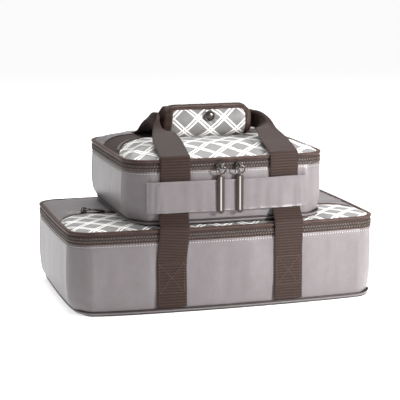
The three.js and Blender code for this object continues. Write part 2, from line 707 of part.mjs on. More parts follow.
// A wire ring with a bar clamped to it, hanging from the bridge's eye.
function pullGeometry(barLength) {
  const ring = new THREE.TorusGeometry(ringRadius, ringWire, wireSides, roundSteps);
  ring.rotateX(Math.PI / 2).translate(0, bridgeOutset, -ringRadius);
  const bar = new THREE.Shape();
  const half = barWidth / 2;
  bar.absarc(0, 0, half, 0, Math.PI, false);
  bar.absarc(0, half - barLength, half, Math.PI, 2 * Math.PI, false);
  const slab = new THREE.ExtrudeGeometry(bar, {
    depth: barThickness, bevelEnabled: false, curveSegments: cornerSteps + 1,
  });
  slab.rotateX(Math.PI / 2).translate(0, bridgeOutset + barThickness / 2, -2 * ringRadius - half + ringWire);
  return joined(ring, slab);
}

// A slider with its pull, in a group that faces the way its zip faces.
function addSliderSet(prefix, place, turn, barLength, drop, parent) {
  const frame = new THREE.Matrix4().makeRotationFromEuler(turn).setPosition(...place);
  addPiece(`${prefix}_slider`, sliderGeometry().applyMatrix4(frame), finishes.gunmetal, parent);
  const pull = pullGeometry(barLength).translate(0, -bridgeOutset, 0)
    .rotateX(drop).translate(0, bridgeOutset, 0);
  addPiece(`${prefix}_pull`, pull.applyMatrix4(frame), finishes.chrome, parent);
}

function addSliders(lid) {
  const upperZipZ = bandLevels(upper).lowerCoil + coilHeight;
  const lowerZipZ = bandLevels(lower).lowerCoil + coilHeight;
  const seat = coilProud + 2 * clearance;
  for (const [side, x] of [["left", mainSliderLeft], ["right", mainSliderRight]]) {
    const y = frontFaceAt(upper, x) - seat;
    addSliderSet(`upper_${side}`, [x, y, upperZipZ], new THREE.Euler(0, 0, 0), longBar, 0, group);
  }
  for (const [side, way] of [["front", -1], ["rear", 1]]) {
    const y = (way * sideSliderSpacing) / 2;
    const x = bowed(lower, halfWidthOf(lower), y)[0] + seat;
    addSliderSet(`lower_${side}`, [x, y, lowerZipZ], new THREE.Euler(0, 0, Math.PI / 2), longBar, 0,
      group);
  }
  const flat = new THREE.Euler(-Math.PI / 2, 0, Math.PI / 2, "ZXY");
  const drop = Math.asin((-bridgeOutset - barThickness / 2 - clearance) / (2 * ringRadius + shortBar));
  const pocketZ = (c) => c.top - bindingProud + c.crown + 2 * clearance;
  const zipMiddle = (c, share) =>
    THREE.MathUtils.lerp(c.pocketLeft, c.pocketRight, share) + c.pocketZipWidth / 2;
  const pocketStart = upper.centreX - upper.width / 2 - lowerPocketSliderGap;
  addSliderSet("lower_pocket", [pocketStart, zipMiddle(lower, 0), pocketZ(lower)], flat,
    shortBar, drop, group);
  addSliderSet("upper_pocket", [upperPocketSliderX, zipMiddle(upper, 1 / 2), pocketZ(upper)], flat,
    shortBar, drop, lid);
}

// The lower carrier
addBase(lower, "lower");
addWalls(lower, "lower");
addLowerBand(lower);
const whole = (geometry) => geometry;
addLidInside(lower, "lower", group, whole);
addLidCloth(lower, "lower", group, whole);

// The upper carrier, with the lid in a group of its own
const upperLid = new THREE.Group();
group.add(upperLid);
addBase(upper, "upper");
addWalls(upper, "upper");
const hingeY = upper.rear - bindingWidth / 2;
addUpperBand(upper, upperLid, hingeY);
addLidInside(upper, "upper", upperLid, whole);
addLidCloth(upper, "upper", upperLid, whole);
addSleeve("front_strap_sleeve", true);
addSleeve("rear_strap_sleeve", false);

// Straps
addRiser("front_left_riser", true, strapLeft, frontSleeveLeft, frontEdgeLeft);
addRiser("front_right_riser", true, strapRight, frontSleeveRight, frontEdgeRight);
addRiser("rear_left_riser", false, strapLeft, (strapLeft + rearEdgeLeft) / 2, rearEdgeLeft);
addRiser("rear_right_riser", false, strapRight, (strapRight + rearEdgeRight) / 2, rearEdgeRight);
addLoop("front_loop_webbing", true, frontEdgeLeft, frontEdgeRight);
addLoop("rear_loop_webbing", false, rearEdgeLeft, rearEdgeRight);

// Handle wrap and snap
const wrapBack = new THREE.Group();
const wrapFlap = new THREE.Group();
group.add(wrapBack, wrapFlap);
addWrap(wrapBack, wrapFlap);
addSnap(wrapBack, wrapFlap);

addSliders(upperLid);

export default group;
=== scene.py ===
"""Dresses a strapped pair of casserole carriers: cloth, webbing, zips, padding and metal trim.

Sizes are in millimetres until a point is placed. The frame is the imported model's: +X right, +Y back
and +Z up, with the origin on the floor under the middle of the lower carrier.
"""
import json
import logging
import math
from collections.abc import Callable, Iterable, Iterator, Sequence
from dataclasses import dataclass, field
from enum import Enum

import bmesh
import bpy
from bmesh.types import BMesh
from bpy.types import Mesh, Node, NodeSocket, NodeTree
from mathutils import Matrix, Vector, noise


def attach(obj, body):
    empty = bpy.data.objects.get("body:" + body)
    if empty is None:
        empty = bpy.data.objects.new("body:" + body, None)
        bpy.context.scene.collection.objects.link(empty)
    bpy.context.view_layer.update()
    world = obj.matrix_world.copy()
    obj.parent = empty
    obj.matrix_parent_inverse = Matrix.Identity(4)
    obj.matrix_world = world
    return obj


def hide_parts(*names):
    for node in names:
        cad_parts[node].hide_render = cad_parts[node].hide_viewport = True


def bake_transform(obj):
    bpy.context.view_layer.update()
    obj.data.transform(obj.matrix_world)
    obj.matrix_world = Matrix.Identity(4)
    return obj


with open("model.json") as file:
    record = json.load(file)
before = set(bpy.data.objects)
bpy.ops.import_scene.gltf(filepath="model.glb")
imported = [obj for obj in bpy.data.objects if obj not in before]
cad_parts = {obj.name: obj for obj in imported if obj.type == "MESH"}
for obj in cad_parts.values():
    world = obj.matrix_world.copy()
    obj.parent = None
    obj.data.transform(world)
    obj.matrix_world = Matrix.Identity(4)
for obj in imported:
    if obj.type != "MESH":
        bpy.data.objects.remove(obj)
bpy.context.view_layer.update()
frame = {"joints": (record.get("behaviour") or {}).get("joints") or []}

log = logging.getLogger("carriers")

MM = 0.001
TURN = 2 * math.pi
UP = Vector((0, 0, 1))
RIGHT = Vector((1, 0, 0))
Pair = tuple[float, float]
Size = tuple[float, float, float]
Place = Callable[[float, float], Vector]

# Stock and clearances, as in the solids that the pieces replace
CLEARANCE = 0.3
CLOTH = 1.2
INSULATION = 5.0
LINING = 0.8
BINDING_PROUD = 1.0
BINDING_WIDTH = 4.6
BINDING_HEIGHT = 4.2
TAPE_HEIGHT = 3.6
COIL_HEIGHT = 1.5
WEBBING_WIDTH = 38.0
WEBBING_THICKNESS = 1.6

# The looks' own pitches, limits and steps
RIB_PITCH = 3.6
STITCH_PITCH = 3.4
TOOTH_PITCH = 3.7
TAPE_THICKNESS = 0.8
WIDE_STRIP = 8.0  # a pocket zip strip over this width is ribbed webbing, and a narrower one plain tape
STRIP_SLANT = 14.0  # how far the ribs of a wide strip run along it from one edge to the other
DEEP = 24.0  # the inset past which a floor or a lid draws in evenly
MIDDLE = 100.0  # the inset that stands for the middle of the plan
CENTRE_SHARE = 0.985  # how far a floor or a lid draws in, so that it ends in a small hole to be filled
OVAL_STEPS = 720  # the steps that measure the wrap's section
CLOTH_FRAMES = 20  # the frames that simulated cloth takes to settle
LONG_BAR = 20.0  # a pull's bar over this length has a bright ridge down its middle, a painted highlight
BEVEL_ANGLE = 14.0  # degrees, under which the edges of a pull's bar are smoothed


def mix(low: float, high: float, share: float) -> float:
    """A value between two others."""
    return low + (high - low) * share


def ease(low: float, high: float, value: float) -> float:
    """A smooth step from 0 at low to 1 at high."""
    share = min(max((value - low) / (high - low), 0.0), 1.0)
    return share * share * (3 - 2 * share)


def squared(value: float, power: float) -> float:
    """A sine or cosine pushed towards its ends by a power under 1, which makes an oval squarer."""
    return math.copysign(abs(value) ** power, value)


def ripple(*at: float) -> float:
    """Smooth noise about zero at a place, the same each time."""
    padded = (*at, 0.0, 0.0)[:3]
    return noise.noise(Vector(padded))


# Finishes


def linear(code: str) -> tuple[float, float, float, float]:
    """An sRGB hex colour as linear light.

    Args:
        code: Six hex digits.

    Returns:
        Red, green, blue and an alpha of one.
    """
    shares = [int(code[i:i + 2], 16) / 255 for i in (0, 2, 4)]
    return (*(c / 12.92 if c <= 0.04045 else ((c + 0.055) / 1.055) ** 2.4 for c in shares), 1.0)


def add_node(tree: NodeTree, kind: str, inputs: dict | None = None,
             **settings: object) -> Node:
    """Adds a shader node.

    Args:
        tree: The node tree that takes it.
        kind: The node's type.
        inputs: Values for its sockets, or the sockets that feed them.
        **settings: The node's own properties.

    Returns:
        The node.
    """
    node = tree.nodes.new(kind)
    for name, value in settings.items():
        setattr(node, name, value)
    for socket, value in (inputs or {}).items():
        if isinstance(value, NodeSocket):
            tree.links.new(value, node.inputs[socket])
        else:
            node.inputs[socket].default_value = value
    return node


def waves(period: float) -> float:
    """The wave texture's scale for a period in millimetres."""
    return math.pi / 10 / (period * MM)


@dataclass(frozen=True)
class Finish:
    """A real finish, with the record's slot that it belongs to."""

    name: str
    slot: str
    colour: str
    roughness: float

    def material(self) -> bpy.types.Material:
        """The finish's material, made the first time that it is asked for."""
        made = bpy.data.materials.get(self.name)
        if made is None:
            made = bpy.data.materials.new(self.name)
            made.use_nodes = True
            self.wire(made.node_tree, made.node_tree.nodes["Principled BSDF"])
        return made

    def wire(self, tree: NodeTree, shader: Node) -> None:
        """Sets the shader's sockets and its patterns."""
        shader.inputs["Base Color"].default_value = linear(self.colour)
        shader.inputs["Roughness"].default_value = self.roughness

    def join(self, tree: NodeTree, shader: Node, colour: NodeSocket, bump: Node) -> None:
        """Feeds the shader its colour, its bump and its roughness."""
        tree.links.new(colour, shader.inputs["Base Color"])
        tree.links.new(bump.outputs["Normal"], shader.inputs["Normal"])
        shader.inputs["Roughness"].default_value = self.roughness

    @staticmethod
    def tones(tree: NodeTree, fac: NodeSocket, dark: str,
              light: str, low: float = 0.3, high: float = 0.7) -> NodeSocket:
        """Two tones that a factor blends between.

        Args:
            tree: The material's tree.
            fac: The factor.
            dark: The colour at a low factor.
            light: The colour at a high factor.
            low: Where the dark tone ends.
            high: Where the light tone starts.

        Returns:
            The colour.
        """
        ramp = add_node(tree, "ShaderNodeValToRGB", {"Fac": fac})
        first, last = ramp.color_ramp.elements
        first.position, last.position = low, high
        first.color, last.color = linear(dark), linear(light)
        return ramp.outputs["Color"]


@dataclass(frozen=True)
class SatinPolyester(Finish):
    """Woven filament polyester: a smooth, slightly lustrous cloth with soft, slow shading."""

    dark: str = "8f8986"
    thread: float = 0.9  # millimetres, drawn twice as coarse as the real weave so that it shows
    slub: float = 14.0  # millimetres, the size of the soft mottling
    sheen: float = 0.12

    def ground(self, tree: NodeTree) -> NodeSocket:
        """The cloth's colour before any print."""
        object_at = add_node(tree, "ShaderNodeTexCoord").outputs["Object"]
        mottling = add_node(tree, "ShaderNodeTexNoise", {
            "Vector": object_at, "Scale": 1 / (self.slub * MM), "Detail": 3.0, "Roughness": 0.6})
        return self.tones(tree, mottling.outputs["Fac"], self.dark, self.colour)

    def wire(self, tree: NodeTree, shader: Node) -> None:
        """Weave bump, mottled colour and a little sheen."""
        uv = add_node(tree, "ShaderNodeTexCoord").outputs["UV"]
        colour = self.ground(tree)
        warp = add_node(tree, "ShaderNodeTexWave", {
            "Vector": uv, "Scale": waves(self.thread), "Distortion": 0.6}, bands_direction="X")
        weft = add_node(tree, "ShaderNodeTexWave", {
            "Vector": uv, "Scale": waves(self.thread), "Distortion": 0.6}, bands_direction="Y")
        weave = add_node(tree, "ShaderNodeMath", {
            0: warp.outputs["Fac"], 1: weft.outputs["Fac"]}, operation="MULTIPLY")
        object_at = add_node(tree, "ShaderNodeTexCoord").outputs["Object"]
        hanging = add_node(tree, "ShaderNodeMapping", {"Vector": object_at, "Scale": (1.0, 1.0, 0.4)})
        crease = add_node(tree, "ShaderNodeTexNoise", {
            "Vector": hanging.outputs["Vector"], "Scale": 1 / (11 * MM), "Detail": 2.0})
        soft = add_node(tree, "ShaderNodeBump", {
            "Height": crease.outputs["Fac"], "Strength": 0.5, "Distance": 1.3 * MM})
        bump = add_node(tree, "ShaderNodeBump", {
            "Height": weave.outputs[0], "Strength": 0.35, "Distance": 0.12 * MM,
            "Normal": soft.outputs["Normal"]})
        self.join(tree, shader, colour, bump)
        shader.inputs["Sheen Weight"].default_value = self.sheen
        shader.inputs["Sheen Roughness"].default_value = 0.4


@dataclass(frozen=True)
class LatticePrint(SatinPolyester):
    """The same cloth with a printed lattice of white double lines, set on the diagonal."""

    white: str = "f6f4f1"
    repeat: float = 35.4  # millimetres between crossings along the cloth
    line: float = 2.4  # millimetres, the width of each white line
    gap: float = 1.6  # millimetres between the two lines of a pair

    def ground(self, tree: NodeTree) -> NodeSocket:
        """Grey ground with the two families of double lines printed on it."""
        cloth = SatinPolyester.ground(self, tree)
        uv = add_node(tree, "ShaderNodeTexCoord").outputs["UV"]
        split = add_node(tree, "ShaderNodeSeparateXYZ", {"Vector": uv})
        families = []
        for way in ("ADD", "SUBTRACT"):
            along = add_node(tree, "ShaderNodeMath", {
                0: split.outputs["X"], 1: split.outputs["Y"]}, operation=way)
            fold = add_node(tree, "ShaderNodeMath", {
                0: along.outputs[0], 1: self.repeat * MM / 2}, operation="PINGPONG")
            families.append(self.pair(tree, fold.outputs[0]))
        either = add_node(tree, "ShaderNodeMath", {0: families[0], 1: families[1]}, operation="MAXIMUM")
        print_mix = add_node(tree, "ShaderNodeMix", {
            "Factor": either.outputs[0], 6: cloth, 7: linear(self.white)}, data_type="RGBA")
        return print_mix.outputs[2]

    def pair(self, tree: NodeTree, fold: NodeSocket) -> NodeSocket:
        """One where a family's lines are, from the distance to the middle of a pair."""
        root = math.sqrt(2)
        middle = (self.gap + self.line) / 2 * root * MM
        off = add_node(tree, "ShaderNodeMath", {0: fold, 1: middle}, operation="SUBTRACT")
        size = add_node(tree, "ShaderNodeMath", {0: off.outputs[0]}, operation="ABSOLUTE")
        edge = self.line / 2 * root * MM
        soft = 0.12 * MM
        ramp = add_node(tree, "ShaderNodeMapRange", {
            "Value": size.outputs[0], "From Min": edge - soft, "From Max": edge + soft,
            "To Min": 1.0, "To Max": 0.0})
        return ramp.outputs["Result"]


@dataclass(frozen=True)
class RibbedWebbing(Finish):
    """Heavy polyester webbing with ribs across it; its grooves are darkened in colour as painted shade, and
    its ribs keep its own colour.
    """

    groove_shade: str = "241914"
    pitch: float = RIB_PITCH
    sheen: float = 0.05

    def wire(self, tree: NodeTree, shader: Node) -> None:
        """Painted shade in the grooves across the strap, with a fine twill bump in the ribs."""
        uv = add_node(tree, "ShaderNodeTexCoord").outputs["UV"]
        split = add_node(tree, "ShaderNodeSeparateXYZ", {"Vector": uv})
        step = add_node(tree, "ShaderNodeMath", {
            0: split.outputs["Y"], 1: TURN / (self.pitch * MM)}, operation="MULTIPLY")
        rib = add_node(tree, "ShaderNodeMath", {0: step.outputs[0]}, operation="COSINE")
        lifted = add_node(tree, "ShaderNodeMapRange", {
            "Value": rib.outputs[0], "From Min": -1.0, "From Max": 1.0})
        # The plain attribute raises the factor, which takes the painted groove shade away.
        plain = add_node(tree, "ShaderNodeAttribute", attribute_name="plain")
        levelled = add_node(tree, "ShaderNodeMath", {
            0: lifted.outputs["Result"], 1: plain.outputs["Fac"]}, operation="MAXIMUM")
        twill = add_node(tree, "ShaderNodeTexWave", {
            "Vector": uv, "Scale": waves(0.7), "Distortion": 0.4}, bands_direction="DIAGONAL")
        fleck = add_node(tree, "ShaderNodeTexNoise", {"Vector": uv, "Scale": 1 / (2.5 * MM), "Detail": 2.0})
        toned = add_node(tree, "ShaderNodeMath", {
            0: levelled.outputs[0], 1: fleck.outputs["Fac"]}, operation="MULTIPLY")
        # The dark end of this ramp is painted shade in the grooves; the noise also varies the tone at random.
        colour = self.tones(tree, toned.outputs[0], self.groove_shade, self.colour, 0.02, 0.42)
        bump = add_node(tree, "ShaderNodeBump", {
            "Height": twill.outputs["Fac"], "Strength": 0.5, "Distance": 0.15 * MM})
        self.join(tree, shader, colour, bump)
        shader.inputs["Specular IOR Level"].default_value = 0.2
        shader.inputs["Sheen Weight"].default_value = self.sheen


@dataclass(frozen=True)
class Grosgrain(Finish):
    """Folded ribbon with very fine ribs across it, which give the edge a soft warm gleam."""

    dark: str = "33241f"
    pitch: float = 1.1
    sheen: float = 0.1

    def wire(self, tree: NodeTree, shader: Node) -> None:
        """Fine ribs and slow changes of tone."""
        coords = add_node(tree, "ShaderNodeTexCoord")
        slow = add_node(tree, "ShaderNodeTexNoise", {
            "Vector": coords.outputs["Object"], "Scale": 1 / (11 * MM), "Detail": 3.0})
        ribs = add_node(tree, "ShaderNodeTexWave", {
            "Vector": coords.outputs["UV"], "Scale": waves(self.pitch), "Distortion": 0.3},
            bands_direction="X")
        colour = self.tones(tree, slow.outputs["Fac"], self.dark, self.colour)
        bump = add_node(tree, "ShaderNodeBump", {
            "Height": ribs.outputs["Fac"], "Strength": 0.5, "Distance": 0.18 * MM})
        self.join(tree, shader, colour, bump)
        shader.inputs["Sheen Weight"].default_value = self.sheen
        shader.inputs["Sheen Tint"].default_value = linear("d9b3a4")
        shader.inputs["Specular IOR Level"].default_value = 0.25


@dataclass(frozen=True)
class Moulded(Finish):
    """A plain polymer or film: nylon teeth, thread, foam, board or welded lining."""

    grain: float = 2.0
    bump: float = 0.1
    metallic: float = 0.0
    dark: str = ""

    def wire(self, tree: NodeTree, shader: Node) -> None:
        """A fine grain in tone and height."""
        at = add_node(tree, "ShaderNodeTexCoord").outputs["Object"]
        grain = add_node(tree, "ShaderNodeTexNoise", {
            "Vector": at, "Scale": 1 / (self.grain * MM), "Detail": 4.0})
        colour = self.tones(tree, grain.outputs["Fac"], self.dark or self.colour, self.colour)
        bump = add_node(tree, "ShaderNodeBump", {
            "Height": grain.outputs["Fac"], "Strength": 0.5, "Distance": self.bump * MM})
        self.join(tree, shader, colour, bump)
        shader.inputs["Metallic"].default_value = self.metallic


@dataclass(frozen=True)
class PlatedMetal(Finish):
    """Polished zinc under bright or dark plating, with faint polishing marks."""

    def wire(self, tree: NodeTree, shader: Node) -> None:
        """A metal whose gloss varies a little with handling."""
        at = add_node(tree, "ShaderNodeTexCoord").outputs["Object"]
        marks = add_node(tree, "ShaderNodeTexNoise", {"Vector": at, "Scale": 1 / (1.5 * MM), "Detail": 3.0})
        gloss = add_node(tree, "ShaderNodeMapRange", {
            "Value": marks.outputs["Fac"], "To Min": self.roughness * 0.8,
            "To Max": self.roughness * 1.5})
        tree.links.new(gloss.outputs["Result"], shader.inputs["Roughness"])
        shader.inputs["Base Color"].default_value = linear(self.colour)
        shader.inputs["Metallic"].default_value = 1.0


GREY_CLOTH = SatinPolyester("satin_polyester_grey", "grey_cloth", "736d6f", 0.36, dark="6e6768")
LATTICE = LatticePrint("printed_polyester_lattice", "lattice_cloth", "858382", 0.5, dark="7d7b7a")
# The webbing and the zip tape carry painted shade in the grooves between their ribs.
WEBBING = RibbedWebbing("ribbed_polyester_webbing", "brown_webbing", "3a2822", 0.62)
TAPE = RibbedWebbing("woven_zip_tape", "brown_webbing", "42302a", 0.65, groove_shade="241915", pitch=1.4)
BINDING = Grosgrain("grosgrain_binding", "brown_binding", "4a3630", 0.5)
COIL = Moulded("nylon_coil", "zip_coil", "67574f", 0.34, dark="473932")
THREAD = Moulded("spun_polyester_thread", "grey_cloth", "c6bfbd", 0.7)
# Small dark pieces between the pale stitches: painted shade in the needle holes.
STITCH_HOLE_SHADE = Moulded("painted_stitch_hole_shade", "grey_cloth", "4a4241", 0.7)
BROWN_THREAD = Moulded("spun_polyester_thread_brown", "brown_webbing", "65524a", 0.7)
FOAM = Moulded("closed_cell_foam", "insulation", "e9e7e2", 0.9, grain=3.0, bump=0.3)
FILM = Moulded("welded_peva_film", "lining", "d3d6d8", 0.28, grain=16.0, bump=1.4, metallic=0.35,
               dark="bfc3c6")
BOARD = Moulded("polypropylene_board", "board", "2d2b2a", 0.55)
PIPING = Moulded("corded_piping", "brown_binding", "2e221d", 0.55, dark="1c1411")
# The pull bar's dark metal and bright ridge metal are shaded and lit copies of one metal.
SHADED_BAR_METAL = PlatedMetal("bar_metal_painted_shade", "chrome", "4b4340", 0.3)
LIT_RIDGE_METAL = PlatedMetal("ridge_metal_painted_highlight", "chrome", "d6d3d0", 0.1)
GUNMETAL = PlatedMetal("dark_plated_zinc", "gunmetal", "5d5855", 0.22)


# Mesh work


@dataclass(frozen=True)
class Bend:
    """Cloth that crosses a joint: the two bodies, and the points between which it turns."""

    fixed: str
    moving: str
    start: Vector
    end: Vector


def surface(across: int, along: int, place: Place, span: Pair = (1.0, 1.0)) -> BMesh:
    """A grid whose points are placed by a function of two shares, with edges that meet welded.

    Args:
        across: Steps of the first share.
        along: Steps of the second share.
        place: Gives a point in millimetres for the two shares.
        span: The cloth's width and length in millimetres, for its pattern.

    Returns:
        The mesh.
    """
    bm = bmesh.new()
    uv = bm.loops.layers.uv.verify()
    grid = bmesh.ops.create_grid(bm, x_segments=across, y_segments=along, size=1)["verts"]
    shares = {vert: ((vert.co.x + 1) / 2, (vert.co.y + 1) / 2) for vert in grid}
    faces = list({one for vert in grid for one in vert.link_faces})
    for one in faces:
        for loop in one.loops:
            first, second = shares[loop.vert]
            loop[uv].uv = (first * span[0] * MM, second * span[1] * MM)
    for vert, (first, second) in shares.items():
        vert.co = place(first, second) * MM
    bmesh.ops.remove_doubles(bm, verts=grid, dist=0.001 * MM)
    bmesh.ops.recalc_face_normals(bm, faces=[one for one in faces if one.is_valid])
    return bm


def close_ends(bm: BMesh) -> None:
    """Fills the open ends of a tube."""
    bmesh.ops.holes_fill(bm, edges=[edge for edge in bm.edges if edge.is_boundary])
    bmesh.ops.recalc_face_normals(bm, faces=bm.faces)


def closed_form(across: int, along: int, place: Place, span: Pair = (1.0, 1.0)) -> BMesh:
    """A surface with its open ends filled; the arguments are those of surface."""
    bm = surface(across, along, place, span)
    close_ends(bm)
    return bm


def lay_pattern(bm: BMesh, placed: Callable[[Vector, Vector], Pair]) -> None:
    """Lays a cloth's pattern again.

    Args:
        bm: The cloth.
        placed: Gives the pattern's place for a point of the cloth and the place that it had, in metres.
    """
    uv = bm.loops.layers.uv.verify()
    for one in bm.faces:
        for loop in one.loops:
            loop[uv].uv = placed(loop.vert.co, loop[uv].uv)


def face_outward(bm: BMesh, outward: Vector) -> None:
    """Turns a sheet's faces over where they look away from a direction."""
    if next(iter(bm.faces)).normal.dot(outward) < 0:
        bmesh.ops.reverse_faces(bm, faces=bm.faces)


def thicken(bm: BMesh, thickness: float) -> None:
    """Gives a sheet its thickness in millimetres; a negative one goes to its other side."""
    bmesh.ops.solidify(bm, geom=bm.faces[:], thickness=thickness * MM)
    bmesh.ops.recalc_face_normals(bm, faces=bm.faces)


def scatter(template: Mesh, places: Iterable[Matrix]) -> BMesh:
    """A mesh with a copy of a small one at each place."""
    bm = bmesh.new()
    for place in places:
        copy = template.copy()
        copy.transform(place)
        bm.from_mesh(copy)
        bpy.data.meshes.remove(copy)
    return bm


def small_mesh(name: str, size: Sequence[float], pinch: float) -> Mesh:
    """A little rounded bar, for a stitch or a tooth.

    Args:
        name: The mesh's name.
        size: Its length, depth and height in millimetres.
        pinch: How far its ends are drawn in, as a share.

    Returns:
        The mesh, in metres.
    """
    bm = bmesh.new()
    bmesh.ops.create_cube(bm, size=1)
    long_edges = [e for e in bm.edges if abs((e.verts[0].co - e.verts[1].co).x) > 0.5]
    bmesh.ops.subdivide_edges(bm, edges=long_edges, cuts=1, use_grid_fill=True)
    for vert in bm.verts:
        draw = 1 - pinch * (2 * abs(vert.co.x)) ** 2
        vert.co = Vector((vert.co.x * size[0], vert.co.y * size[1] * draw, vert.co.z * size[2] * draw)) * MM
    mesh = bpy.data.meshes.new(name)
    bm.to_mesh(mesh)
    bm.free()
    return mesh


def frame_at(origin: Vector, along: Vector, outward: Vector) -> Matrix:
    """A placing matrix, in metres: X runs along, Y points outward."""
    first = along.normalized()
    third = first.cross(outward).normalized()
    second = third.cross(first).normalized()
    turned = Matrix((first, second, third)).transposed().to_4x4()
    return Matrix.Translation(origin * MM) @ turned


def spaced(points: Sequence[Vector], pitch: float) -> Iterator[tuple[Vector, Vector]]:
    """Evenly spaced points on a line.

    Args:
        points: The line, in millimetres.
        pitch: The spacing.

    Yields:
        Each point with the line's direction there.
    """
    walked, wanted = 0.0, pitch / 2
    for near, far in zip(points, points[1:]):
        step = (far - near).length
        while step > 0 and walked + step >= wanted:
            yield near.lerp(far, (wanted - walked) / step), (far - near).normalized()
            wanted += pitch
        walked += step


def publish(name: str, bm: BMesh, finish: Finish, body: str | Bend,
            replaced: Sequence[str] = (), sharp: float = 50.0) -> bpy.types.Object:
    """Turns a mesh into a piece with its finish, on its body.

    Args:
        name: The piece's name.
        bm: The mesh, which is freed.
        finish: The finish that dresses it.
        body: The body that it rides on, or a bend, in which case it stays where it is built.
        replaced: The solids that it stands for.
        sharp: Edges sharper than this angle in degrees stay crisp.

    Returns:
        The piece.
    """
    mesh = bpy.data.meshes.new(name)
    bm.to_mesh(mesh)
    bm.free()
    mesh.materials.append(finish.material())
    mesh.shade_smooth()
    mesh.set_sharp_from_angle(angle=math.radians(sharp))
    piece = bpy.data.objects.new(name, mesh)
    bpy.context.scene.collection.objects.link(piece)
    if isinstance(body, Bend):
        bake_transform(piece)
    else:
        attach(piece, body)
    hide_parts(*replaced)
    log.info("%s: %d faces", name, len(mesh.polygons))
    return piece


def puff(bm: BMesh, pressure: float, spare: float, most: float) -> None:
    """Fills a sheet of cloth that is sewn down at its rim, by a short cloth simulation.

    Args:
        bm: The cloth, a grid of one layer; its points are moved.
        pressure: The simulation's pressure.
        spare: Extra cloth between the seams, as a share.
        most: The furthest that a point may move, in millimetres.
    """
    bm.verts.ensure_lookup_table()
    before = [vert.co.copy() for vert in bm.verts]
    mesh = bpy.data.meshes.new("cloth_under_pressure")
    bm.to_mesh(mesh)
    cloth = bpy.data.objects.new("cloth_under_pressure", mesh)
    scene = bpy.context.scene
    scene.collection.objects.link(cloth)
    seam = cloth.vertex_groups.new(name="seam")
    seam.add([vert.index for vert in bm.verts if vert.is_boundary], 1.0, "REPLACE")
    cloth_on = cloth.modifiers.new("cloth", "CLOTH")
    settings = cloth_on.settings
    settings.quality = 6
    settings.mass = 0.15
    settings.tension_stiffness = settings.compression_stiffness = 20
    settings.shear_stiffness = 8
    settings.bending_stiffness = 0.25
    settings.effector_weights.gravity = 0
    settings.use_pressure = True
    settings.uniform_pressure_force = pressure
    settings.shrink_min = -spare
    settings.vertex_group_mass = "seam"
    cloth_on.point_cache.frame_start, cloth_on.point_cache.frame_end = 1, CLOTH_FRAMES
    for step in range(1, CLOTH_FRAMES + 1):
        scene.frame_set(step)
    shaped = cloth.evaluated_get(bpy.context.evaluated_depsgraph_get()).to_mesh()
    for vert, was, now in zip(bm.verts, before, shaped.vertices):
        move = now.co - was
        vert.co = was + move * min(1.0, most * MM / max(move.length, most * MM / 100))
    scene.frame_set(1)
    bpy.data.objects.remove(cloth)
    bpy.data.meshes.remove(mesh)


def topstitch(names: tuple[str, str], places: Sequence[Matrix], stitch: Size, hole: Size) -> None:
    """Sews a line of pale stitches, with small dark pieces between them that are painted shade in the needle
    holes.

    Args:
        names: The names of the two pieces.
        places: Where the stitches lie; the holes are half a pitch further on.
        stitch: A stitch's length, depth and height in millimetres.
        hole: The same of a piece of painted hole shade.
    """
    kinds = ((stitch, 0.0, THREAD), (hole, STITCH_PITCH / 2, STITCH_HOLE_SHADE))
    for name, (size, slide, finish) in zip(names, kinds):
        shift = Matrix.Translation((slide * MM, 0, 0))
        template = small_mesh("stitch", size, 0.4)
        publish(name, scatter(template, (place @ shift for place in places)), finish, "carriers")


# Carriers


